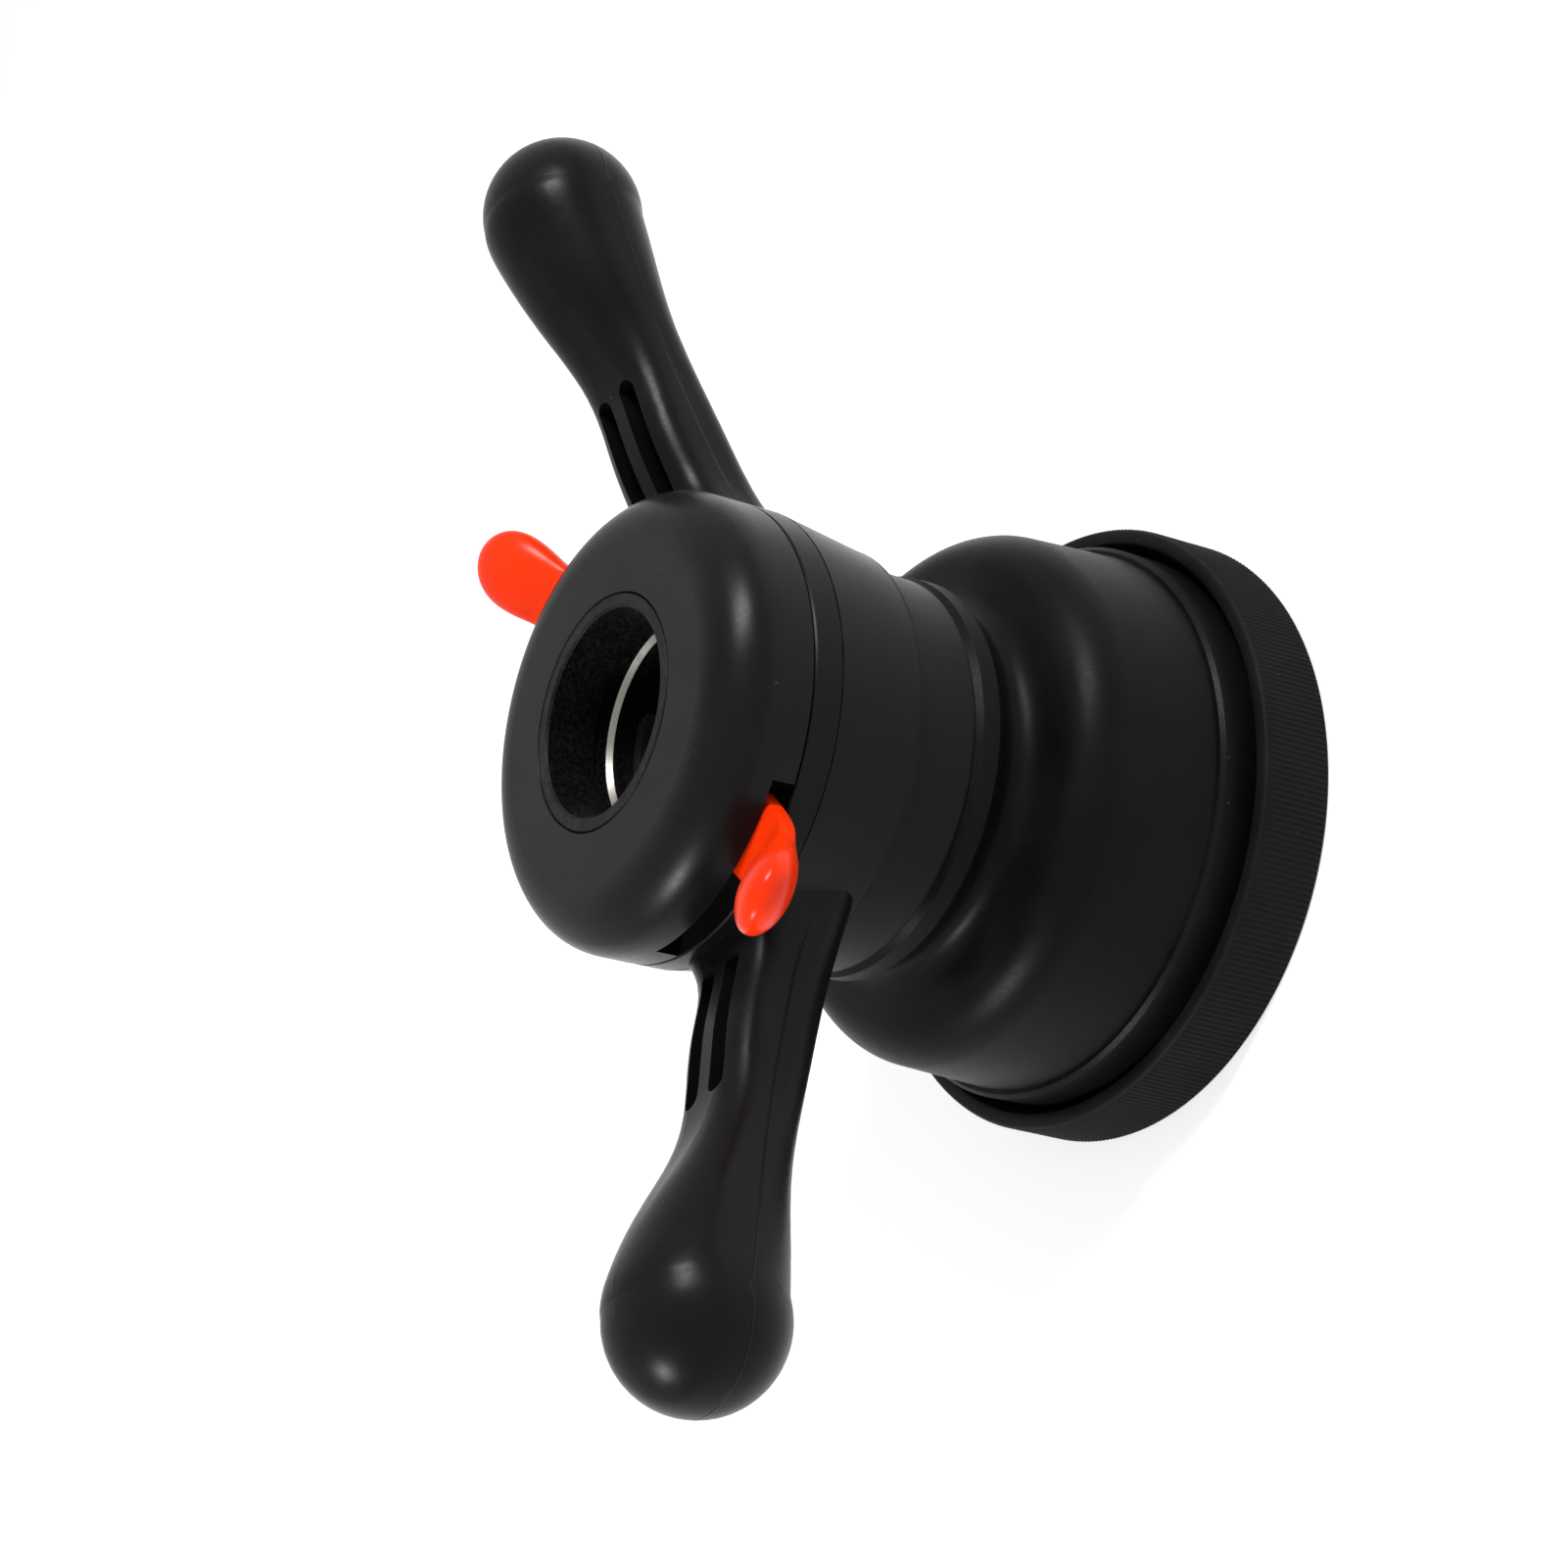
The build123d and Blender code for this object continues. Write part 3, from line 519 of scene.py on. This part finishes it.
@dataclass(frozen=True)
class SatinPlastic:
    """Black moulded plastic with a satin, slightly speckled face."""

    name: str
    slot: Slot
    level: float = 0.0034
    # colour of the painted highlight (glint) along sharp edges
    glint_level: float = 0.022
    shine: float = 0.075
    roughness: tuple[float, float] = (0.27, 0.33)
    grain_scale: float = 1500.0
    grain_strength: float = 0.14
    grain_depth: float = 0.06 * MM
    speckle: float = 0.16
    # strength of the painted edge highlight
    edge_glint: float = 0.35
    film: float = 0.02
    patch_swing: tuple[float, float] = (0.85, 1.2)
    patch_warmth: float = 1.01
    dust_level: float = 0.18
    dust_dulling: float = 0.5  # roughness that full dust adds
    seam: HandleSeam | None = None

    def build(self) -> bpy.types.Material:
        """The finished material."""
        material, sheet, shader = new_surface(self.name)
        grain = GRAIN.use(
            sheet,
            Grain_Scale=self.grain_scale,
            Patch_Scale=32.0,
            Roughness_Low=self.roughness[0],
            Roughness_High=self.roughness[1],
            Speckle=self.speckle,
        )
        edge_glint = GLINT.use(sheet, Width=0.0005, Amount=self.edge_glint, Break_Scale=240.0)
        dust = DUST.use(sheet, Film=self.film, Specks=0.12, Speck_Scale=240.0)
        patchy = sheet.blend(
            sheet.remap(grain.outputs["Patches"], *PATCH_SPAN, 0.0, 1.0),
            grey(self.level * self.patch_swing[0]),
            grey(self.level * self.patch_swing[1], self.patch_warmth),
        )
        # sharp edges lightened towards the glint colour: a painted highlight
        glinted = sheet.blend(edge_glint.outputs["Mask"], patchy, grey(self.glint_level))
        dusty = sheet.blend(dust.outputs["Mask"], glinted, grey(self.dust_level, DUST_WARMTH))
        sheet.join(dusty, shader.inputs["Base Color"])
        dull = sheet.math(
            "MULTIPLY_ADD", dust.outputs["Mask"], self.dust_dulling, grain.outputs["Roughness"]
        )
        sheet.join(dull, shader.inputs["Roughness"])
        shader.inputs["Specular IOR Level"].default_value = self.shine
        normal = add_bump(sheet, shader, grain.outputs["Height"], self.grain_strength, self.grain_depth)
        if self.seam:
            add_bump(sheet, shader, self.seam.height(sheet), self.seam.strength, self.seam.depth, normal)
        return material


@dataclass(frozen=True)
class MattRubber:
    """Black rubber, dull, a little dusty in its grooves."""

    name: str = "matt_rubber"
    slot: Slot = Slot.RUBBER
    level: float = 0.0036
    # colour of the painted highlight (glint) along sharp edges
    glint_level: float = 0.03
    dust_level: float = 0.16
    patch_swing: tuple[float, float] = (0.8, 1.25)
    shine: float = 0.08
    roughness: tuple[float, float] = (0.52, 0.66)

    def build(self) -> bpy.types.Material:
        """The finished material."""
        material, sheet, shader = new_surface(self.name)
        grain = GRAIN.use(
            sheet,
            Grain_Scale=2200.0,
            Patch_Scale=48.0,
            Roughness_Low=self.roughness[0],
            Roughness_High=self.roughness[1],
            Speckle=0.12,
        )
        edge_glint = GLINT.use(sheet, Width=0.0004, Amount=0.25, Break_Scale=300.0)
        dust = DUST.use(sheet, Film=0.03, Specks=0.15, Speck_Scale=300.0)
        patchy = sheet.blend(
            sheet.remap(grain.outputs["Patches"], *PATCH_SPAN, 0.0, 1.0),
            grey(self.level * self.patch_swing[0]),
            grey(self.level * self.patch_swing[1]),
        )
        # sharp edges lightened towards the glint colour: a painted highlight
        glinted = sheet.blend(edge_glint.outputs["Mask"], patchy, grey(self.glint_level))
        dusty = sheet.blend(dust.outputs["Mask"], glinted, grey(self.dust_level, DUST_WARMTH))
        sheet.join(dusty, shader.inputs["Base Color"])
        sheet.join(grain.outputs["Roughness"], shader.inputs["Roughness"])
        shader.inputs["Specular IOR Level"].default_value = self.shine
        add_bump(sheet, shader, grain.outputs["Height"], strength=0.25, depth=0.06 * MM)
        return material


@dataclass(frozen=True)
class GlossPlastic:
    """Bright orange-red moulded plastic with a glossy, faintly rippled face."""

    name: str = "gloss_orange"
    slot: Slot = Slot.LEVER_PLASTIC
    colour: tuple[float, float, float, float] = (0.76, 0.032, 0.0015, 1.0)
    deep_colour: tuple[float, float, float, float] = (0.66, 0.023, 0.0010, 1.0)
    # colour of the painted highlight (glint) along sharp edges
    glint_colour: tuple[float, float, float, float] = (0.82, 0.085, 0.015, 1.0)
    shine: float = 0.12
    roughness: tuple[float, float] = (0.22, 0.30)

    def build(self) -> bpy.types.Material:
        """The finished material."""
        material, sheet, shader = new_surface(self.name)
        grain = GRAIN.use(
            sheet,
            Grain_Scale=700.0,
            Patch_Scale=90.0,
            Roughness_Low=self.roughness[0],
            Roughness_High=self.roughness[1],
            Speckle=0.06,
        )
        edge_glint = GLINT.use(sheet, Width=0.0004, Amount=0.35, Break_Scale=420.0)
        cloudy = sheet.blend(
            sheet.remap(grain.outputs["Patches"], *PATCH_SPAN, 0.0, 1.0), self.deep_colour, self.colour
        )
        # sharp edges lightened towards the glint colour: a painted highlight
        sheet.join(sheet.blend(edge_glint.outputs["Mask"], cloudy, self.glint_colour), shader.inputs["Base Color"])
        sheet.join(grain.outputs["Roughness"], shader.inputs["Roughness"])
        shader.inputs["Specular IOR Level"].default_value = self.shine
        add_bump(sheet, shader, grain.outputs["Height"], strength=0.10, depth=0.08 * MM)
        return material


@dataclass(frozen=True)
class TurnedMetal:
    """Turned or ground metal with tool marks round the spindle axis."""

    name: str
    slot: Slot
    colour: tuple[float, float, float, float] = (0.56, 0.55, 0.53, 1.0)
    stain: tuple[float, float, float, float] = (0.30, 0.28, 0.25, 1.0)
    roughness: tuple[float, float] = (0.16, 0.34)
    rings: float = 2600.0
    streak_span: tuple[float, float] = (0.45, 0.85)
    stain_share: float = 0.55
    metallic: float = 1.0

    def build(self) -> bpy.types.Material:
        """The finished material."""
        material, sheet, shader = new_surface(self.name)
        marks = MARKS.use(sheet, Rings=self.rings, Wobble=0.3)
        grain = GRAIN.use(
            sheet,
            Grain_Scale=1800.0,
            Patch_Scale=130.0,
            Roughness_Low=self.roughness[0],
            Roughness_High=self.roughness[1],
            Speckle=0.1,
        )
        tint = sheet.remap(marks.outputs["Streaks"], *self.streak_span, 0.0, self.stain_share)
        sheet.join(sheet.blend(tint, self.colour, self.stain), shader.inputs["Base Color"])
        sheet.join(grain.outputs["Roughness"], shader.inputs["Roughness"])
        shader.inputs["Metallic"].default_value = self.metallic
        add_bump(sheet, shader, marks.outputs["Height"], strength=0.25, depth=0.05 * MM)
        return material


@dataclass(frozen=True)
class RoughCasting:
    """Black cast metal, left rough in the bore, with small bright grains."""

    name: str = "rough_casting"
    slot: Slot = Slot.CAST_BLACK
    level: float = 0.0030
    # colour of the painted highlight (glint) along sharp edges
    glint_level: float = 0.02
    lump_span: tuple[float, float] = (0.45, 0.7)
    lump_swing: tuple[float, float] = (0.6, 2.4)
    lump_warmth: float = 0.97
    shine: float = 0.10

    def build(self) -> bpy.types.Material:
        """The finished material."""
        material, sheet, shader = new_surface(self.name)
        grain = GRAIN.use(
            sheet,
            Grain_Scale=1300.0,
            Patch_Scale=260.0,
            Roughness_Low=0.34,
            Roughness_High=0.55,
            Speckle=0.5,
        )
        edge_glint = GLINT.use(sheet, Width=0.0004, Amount=0.5, Break_Scale=420.0)
        lumps = sheet.blend(
            sheet.remap(grain.outputs["Height"], *self.lump_span, 0.0, 1.0),
            grey(self.level * self.lump_swing[0]),
            grey(self.level * self.lump_swing[1], self.lump_warmth),
        )
        # sharp edges lightened towards the glint colour: a painted highlight
        glinted = sheet.blend(edge_glint.outputs["Mask"], lumps, grey(self.glint_level))
        sheet.join(glinted, shader.inputs["Base Color"])
        sheet.join(grain.outputs["Roughness"], shader.inputs["Roughness"])
        shader.inputs["Specular IOR Level"].default_value = self.shine
        normal = add_bump(sheet, shader, grain.outputs["Height"], strength=0.5, depth=0.18 * MM)
        add_bump(sheet, shader, grain.outputs["Patches"], strength=0.4, depth=0.4 * MM, under=normal)
        return material


# ----------------------------------------------------------------------- mesh helpers
def ring_mesh(name: str, rings: list[list[Vector]], closed_rows: bool) -> bpy.types.Object:
    """A quad skin over closed rings of points.

    Args:
        name: the new object's name.
        rings: closed loops with the same number of points each.
        closed_rows: True if the last ring joins the first, else both ends get a cap.

    Returns:
        The object, linked to the scene and smooth.
    """
    mesh = bmesh.new()
    rows = [[mesh.verts.new(point) for point in ring] for ring in rings]
    count = len(rings[0])
    pairs = list(zip(rows, rows[1:]))
    if closed_rows:
        pairs.append((rows[-1], rows[0]))
    for low, high in pairs:
        for index in range(count):
            following = (index + 1) % count
            mesh.faces.new((low[index], low[following], high[following], high[index]))
    if not closed_rows:
        mesh.faces.new(reversed(rows[0]))
        mesh.faces.new(rows[-1])
    bmesh.ops.recalc_face_normals(mesh, faces=mesh.faces)
    data = bpy.data.meshes.new(name)
    mesh.to_mesh(data)
    mesh.free()
    data.shade_smooth()
    piece = bpy.data.objects.new(name, data)
    bpy.context.scene.collection.objects.link(piece)
    return piece


# ----------------------------------------------------------------------- finishes in use
@dataclass
class FinishBook:
    """Every finish, built once."""

    nut: SatinPlastic = SatinPlastic("nut_plastic", Slot.NUT_PLASTIC, seam=HandleSeam())
    cap: SatinPlastic = SatinPlastic("cap_plastic", Slot.NUT_PLASTIC, level=0.0042, shine=0.085)
    nose: SatinPlastic = SatinPlastic("nose_plastic", Slot.NUT_PLASTIC, roughness=(0.33, 0.41), shine=0.08)
    bowl: SatinPlastic = SatinPlastic(
        "bowl_plastic",
        Slot.BOWL_PLASTIC,
        level=0.0032,
        shine=0.05,
        roughness=(0.33, 0.42),
        speckle=0.2,
        grain_strength=0.18,
    )
    rubber: MattRubber = MattRubber()
    lever: GlossPlastic = GlossPlastic()
    steel: TurnedMetal = TurnedMetal("turned_steel", Slot.STEEL)
    bush: TurnedMetal = TurnedMetal(
        "oiled_steel",
        Slot.STEEL,
        colour=(0.26, 0.25, 0.23, 1.0),
        stain=(0.05, 0.046, 0.04, 1.0),
        roughness=(0.2, 0.36),
    )
    dark: TurnedMetal = TurnedMetal(
        "blackened_steel",
        Slot.DARK_STEEL,
        colour=(0.09, 0.09, 0.095, 1.0),
        stain=(0.03, 0.03, 0.03, 1.0),
        roughness=(0.3, 0.5),
        metallic=0.85,
    )
    brass: TurnedMetal = TurnedMetal(
        "pressed_brass",
        Slot.CAGE_BRASS,
        colour=(0.70, 0.50, 0.20, 1.0),
        stain=(0.42, 0.27, 0.10, 1.0),
        roughness=(0.22, 0.4),
    )
    casting: RoughCasting = RoughCasting()
    made: dict[str, bpy.types.Material] = field(default_factory=dict)

    def material(self, key: str) -> bpy.types.Material:
        """The material of one of this book's finishes.

        Args:
            key: the finish's field name.

        Returns:
            The material, built on first use.
        """
        if key not in self.made:
            self.made[key] = getattr(self, key).build()
        return self.made[key]

    def dress(self, key: str, *nodes: str) -> None:
        """Gives nodes of the frame their finish.

        Args:
            key: the finish's field name.
            nodes: the nodes' names.
        """
        for node in nodes:
            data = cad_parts[node].data
            data.materials.clear()
            data.materials.append(self.material(key))
            log.info("dressed %s with %s, slot %s", node, key, getattr(self, key).slot.value)

    def settle(self, key: str, piece: bpy.types.Object, body: Body, *nodes: str) -> None:
        """Puts a piece made here in the place of frame nodes.

        Args:
            key: the finish's field name.
            piece: the new piece.
            body: the body that it rides on.
            nodes: the nodes that it stands for.
        """
        piece.data.materials.append(self.material(key))
        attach(piece, body.value)
        getattr(self, key).slot.value
        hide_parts(*nodes)
        log.info("made %s for %s", piece.name, ", ".join(nodes))


# ----------------------------------------------------------------------- sub-assemblies
@dataclass
class PressureBowl:
    """The bowl and the knurled rubber ring round its mouth."""

    finishes: FinishBook
    ridges: int = 340
    ridge_depth: float = 0.36 * MM
    knurl_margin: float = 0.9 * MM
    edge_round: float = 0.7 * MM
    mouth_r: float = 59.0 * MM
    tight_r: float = 57.05 * MM
    tight_top: float = 9.0 * MM
    channel_floor: float = 4.0 * MM
    inner_top: float = 11.0 * MM
    inner_wall: float = 3.5 * MM
    channel_inner_r: float = 53.55 * MM
    foot_break: float = 0.4 * MM
    mouth_break: float = 0.3 * MM
    inner_break: float = 0.5 * MM
    knurl_taper: float = 0.25 * MM
    top_inset: float = 0.3 * MM
    arc_steps: int = 3
    knurl_steps: int = 5
    ridge_wave: tuple[float, ...] = (0.0, 0.25, 1.0, 0.25)
    plain_cut: float = 0.5  # of a ridge's depth, off the plain bands above and below the knurl
    band_reach: float = 2.0 * MM

    def profile(self) -> list[tuple[float, float, bool]]:
        """The rubber ring's section: distance from the axis, height, and if it is knurled."""
        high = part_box("rubber_ring")[1]
        outer, top = high[0], high[2]
        inner = self.channel_inner_r - self.inner_wall
        points = [(inner, self.foot_break, False), (inner + self.foot_break, 0.0, False)]
        for step in range(self.arc_steps + 1):
            angle = math.radians(90 * step / self.arc_steps)
            radius = outer - self.edge_round * (1 - math.sin(angle))
            points.append((radius, self.edge_round * (1 - math.cos(angle)), False))
        span = top - 2 * self.knurl_margin
        for step in range(self.knurl_steps + 1):
            share = step / self.knurl_steps
            points.append((outer - self.knurl_taper * share, self.knurl_margin + span * share, True))
        for step in range(self.arc_steps + 1):
            angle = math.radians(90 * step / self.arc_steps)
            radius = outer - self.top_inset - self.edge_round * (1 - math.cos(angle))
            points.append((radius, top - self.edge_round * (1 - math.sin(angle)), False))
        points += [
            (self.mouth_r + self.mouth_break, top, False),
            (self.mouth_r, top - self.mouth_break, False),
            (self.tight_r, self.tight_top, False),
            (self.tight_r, self.channel_floor, False),
            (self.channel_inner_r, self.channel_floor, False),
            (self.channel_inner_r, self.inner_top - self.inner_break, False),
            (self.channel_inner_r - self.inner_break, self.inner_top, False),
            (inner + self.inner_break, self.inner_top, False),
            (inner, self.inner_top - self.inner_break, False),
        ]
        return points

    def build(self) -> None:
        """Makes the knurled ring and dresses the bowl."""
        columns = self.ridges * len(self.ridge_wave)
        rings = []
        for radius, height, knurled in self.profile():
            ring = []
            for column in range(columns):
                angle = 2 * math.pi * column / columns
                cut = 0.0
                if knurled:
                    cut = self.ridge_depth * self.ridge_wave[column % len(self.ridge_wave)]
                elif radius > self.mouth_r + self.band_reach:
                    cut = self.ridge_depth * self.plain_cut
                reach = radius - cut
                ring.append(Vector((reach * math.cos(angle), reach * math.sin(angle), height)))
            rings.append(ring)
        piece = ring_mesh("knurled_rubber_ring", rings, closed_rows=True)
        self.finishes.settle("rubber", piece, Body.BOWL, "rubber_ring")
        self.finishes.dress("bowl", "pressure_bowl")


@dataclass
class Nose:
    """The pressure ring, the thrust bearing and the pieces between nose and core."""

    finishes: FinishBook

    def build(self) -> None:
        """Dresses the nose's pieces."""
        self.finishes.dress("nose", "pressure_ring")
        self.finishes.dress("rubber", "bowl_grip_ring", "dust_seal")
        self.finishes.dress("steel", "lower_race", "upper_race", "bearing_balls", "thrust_washer")
        self.finishes.dress("brass", "ball_cage")
        self.finishes.dress("dark", "circlip")


@dataclass
class NutHead:
    """The moulded body with its handles, the cap and the core."""

    finishes: FinishBook

    def build(self) -> None:
        """Dresses the head's pieces."""
        self.finishes.dress("nut", "nut_body")
        self.finishes.dress("cap", "front_cap")
        self.finishes.dress("casting", "hub_core", "bore_sleeve")
        self.finishes.dress("bush", "guide_bush")
        self.finishes.dress("steel", "guide_plate")
        self.finishes.dress("dark", "core_screws", "cap_screws")


@dataclass
class JawSet:
    """The two thread jaws with their pins and springs."""

    finishes: FinishBook
    count: int = 2

    def build(self) -> None:
        """Dresses the jaws' pieces."""
        for number in range(1, self.count + 1):
            self.finishes.dress("dark", f"thread_jaw_{number}")
            self.finishes.dress("steel", f"jaw_pin_{number}", f"jaw_springs_{number}")


@dataclass(frozen=True)
class LeverSection:
    """One cross-section of a lever, in its own upright plane through the spindle axis.

    Attributes:
        reach: the middle's distance from the axis, in mm.
        height: the middle's height, in mm.
        lean: how far the lever's run has turned upward here, in degrees.
        width: size across the lever, in mm.
        thickness: size through the lever, in mm.
        fullness: power of the outline: 2 is an ellipse, and more is squarer.
    """

    reach: float
    height: float
    lean: float
    width: float
    thickness: float
    fullness: float


@dataclass
class ReleaseLevers:
    """The cam ring and the two orange thumb levers."""

    finishes: FinishBook
    angles: tuple[float, float] = (31.0, 211.0)
    points_round: int = 32
    smooth_levels: int = 2
    sections: tuple[LeverSection, ...] = (
        LeverSection(38.3, 110.6, 0, 15.0, 4.1, 7.0),
        LeverSection(38.8, 110.6, 0, 15.3, 4.3, 7.0),
        LeverSection(44.0, 110.6, 0, 15.3, 4.3, 6.0),
        LeverSection(49.0, 110.7, 4, 15.0, 4.3, 5.0),
        LeverSection(52.0, 111.5, 18, 14.6, 4.4, 4.0),
        LeverSection(55.0, 113.0, 28, 14.2, 5.0, 3.2),
        LeverSection(57.6, 114.4, 33, 14.3, 6.4, 2.6),
        LeverSection(60.4, 116.1, 36, 15.6, 8.2, 2.3),
        LeverSection(63.4, 117.9, 36, 16.6, 9.3, 2.1),
        LeverSection(66.4, 119.9, 36, 16.7, 9.5, 2.0),
        LeverSection(69.2, 121.8, 36, 14.8, 8.3, 2.0),
        LeverSection(71.3, 123.3, 36, 11.0, 6.1, 2.0),
        LeverSection(72.6, 124.2, 36, 6.0, 3.4, 2.0),
        LeverSection(73.0, 124.5, 36, 1.6, 0.9, 2.0),
    )

    def outline(self, section: LeverSection, angle: float) -> list[Vector]:
        """The points round one section.

        Args:
            section: the section's place and size.
            angle: the lever's angle from +X, in degrees.

        Returns:
            The points, in metres, in the row frame.
        """
        turn = Matrix.Rotation(math.radians(angle), 4, "Z")
        tilt = math.radians(section.lean)
        power = 2.0 / section.fullness
        points = []
        for index in range(self.points_round):
            phase = 2 * math.pi * index / self.points_round
            cosine, sine = math.cos(phase), math.sin(phase)
            across = math.copysign(abs(cosine) ** power, cosine) * section.width / 2
            along = math.copysign(abs(sine) ** power, sine) * section.thickness / 2
            reach = section.reach - along * math.sin(tilt)
            height = section.height + along * math.cos(tilt)
            points.append(turn @ Vector((reach * MM, across * MM, height * MM)))
        return points

    def build(self) -> None:
        """Makes both levers and dresses the cam ring and rivets."""
        for number, angle in enumerate(self.angles, start=1):
            rings = [self.outline(section, angle) for section in self.sections]
            piece = ring_mesh(f"thumb_lever_{number}", rings, closed_rows=False)
            smooth = piece.modifiers.new("smooth", "SUBSURF")
            smooth.levels = self.smooth_levels
            smooth.render_levels = self.smooth_levels
            self.finishes.settle("lever", piece, Body.CAM, f"release_lever_{number}")
        self.finishes.dress("steel", "cam_ring", "lever_rivets")


# ----------------------------------------------------------------------- studio
@dataclass(frozen=True)
class SoftLight:
    """One soft box, placed by its direction from the object. Lengths in metres, power in watts."""

    name: str
    way: tuple[float, float, float]
    distance: float
    width: float
    height: float
    power: float

    def build(self, target: Vector) -> None:
        """Makes the light.

        Args:
            target: the point that it faces.
        """
        lamp = bpy.data.lights.new(self.name, "AREA")
        lamp.shape = "RECTANGLE"
        lamp.size = self.width
        lamp.size_y = self.height
        lamp.energy = self.power
        holder = bpy.data.objects.new(self.name, lamp)
        way = Vector(self.way).normalized()
        holder.location = target + way * self.distance
        holder.rotation_euler = way.to_track_quat("Z", "Y").to_euler()
        bpy.context.scene.collection.objects.link(holder)


@dataclass
class Studio:
    """The pale floor, the white surroundings and the soft lights."""

    floor_half: float = 6.0
    floor_level: float = 0.80
    floor_roughness: float = 0.9
    floor_shine: float = 0.1
    floor_lift: float = 0.30
    fill_level: float = 0.45
    lights: tuple[SoftLight, ...] = (
        SoftLight("soft_right", way=(0.43, -0.62, 0.60), distance=1.3, width=0.22, height=0.42, power=17.0),
        SoftLight("soft_left", way=(-0.78, 0.33, 0.49), distance=1.3, width=0.20, height=0.26, power=14.0),
    )

    def seen(self, sheet: NodeSheet) -> bpy.types.NodeSocket:
        """1 for rays that see the surroundings directly, by reflection or through glass."""
        path = sheet.add("ShaderNodeLightPath")
        direct = sheet.math("MAXIMUM", path.outputs["Is Camera Ray"], path.outputs["Is Transmission Ray"])
        return sheet.math("MAXIMUM", direct, path.outputs["Is Glossy Ray"])

    def build_floor(self) -> None:
        """Makes the floor, which keeps the object's shadow and otherwise looks white."""
        half = self.floor_half
        data = bpy.data.meshes.new("studio_floor")
        corners = [(-half, -half, 0), (half, -half, 0), (half, half, 0), (-half, half, 0)]
        data.from_pydata(corners, [], [(0, 1, 2, 3)])
        floor = bpy.data.objects.new("studio_floor", data)
        bpy.context.scene.collection.objects.link(floor)
        material, sheet, shader = new_surface("studio_floor")
        shader.inputs["Base Color"].default_value = grey(self.floor_level)
        shader.inputs["Roughness"].default_value = self.floor_roughness
        shader.inputs["Specular IOR Level"].default_value = self.floor_shine
        shader.inputs["Emission Color"].default_value = grey(1.0)
        lift = sheet.math("MULTIPLY", self.seen(sheet), self.floor_lift)
        sheet.join(lift, shader.inputs["Emission Strength"])
        data.materials.append(material)
        floor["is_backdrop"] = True

    def build_world(self) -> None:
        """Makes the white surroundings, which light the object less than they show."""
        world = bpy.data.worlds.new("studio_world")
        world.use_nodes = True
        world.node_tree.nodes.clear()
        sheet = NodeSheet(world.node_tree)
        level = sheet.remap(self.seen(sheet), 0.0, 1.0, self.fill_level, 1.0)
        back = sheet.add("ShaderNodeBackground")
        back.inputs["Color"].default_value = grey(1.0)
        sheet.join(level, back.inputs["Strength"])
        out = sheet.add("ShaderNodeOutputWorld")
        sheet.join(back.outputs[0], out.inputs["Surface"])
        bpy.context.scene.world = world

    def build(self, target: Vector) -> None:
        """Makes the whole studio.

        Args:
            target: the point that the lights face.
        """
        self.build_floor()
        self.build_world()
        for light in self.lights:
            light.build(target)


@dataclass
class Viewpoint:
    """The main camera: it looks down at the cap, rolled so that the spindle axis lies across."""

    target: tuple[float, float, float] = (-0.0040, 0.0031, 0.0830)
    azimuth: float = -37.54
    elevation: float = 31.80
    roll: float = -76.36
    distance: float = 0.6833
    sensor: float = 36.0
    lens: float = 80.95
    near: float = 0.01

    def build(self) -> None:
        """Makes the camera and sets it as the scene's."""
        tip = math.radians(self.elevation)
        way = math.radians(self.azimuth)
        back = Vector((math.sin(way) * math.cos(tip), -math.cos(way) * math.cos(tip), math.sin(tip)))
        turn = back.to_track_quat("Z", "Y").to_matrix().to_4x4()
        spin = Matrix.Rotation(math.radians(self.roll), 4, "Z")
        data = bpy.data.cameras.new("main_camera")
        data.sensor_width = self.sensor
        data.lens = self.lens
        data.clip_start = self.near
        camera = bpy.data.objects.new("main_camera", data)
        place = Matrix.Translation(Vector(self.target) + back * self.distance)
        camera.matrix_world = place @ turn @ spin
        bpy.context.scene.collection.objects.link(camera)
        bpy.context.scene.camera = camera


def main() -> None:
    """Builds every sub-assembly, then the studio and the camera."""
    logging.basicConfig(level=logging.INFO)
    cad_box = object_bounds()
    bpy.context.scene.view_settings.view_transform = "Standard"
    finishes = FinishBook()
    for assembly in (
        PressureBowl(finishes),
        Nose(finishes),
        NutHead(finishes),
        JawSet(finishes),
        ReleaseLevers(finishes),
    ):
        assembly.build()
        log.info("built %s", type(assembly).__name__)
    centre = (Vector(cad_box[0]) + Vector(cad_box[1])) / 2
    Studio().build(centre)
    Viewpoint().build()


if __name__ == "__main__":
    main()
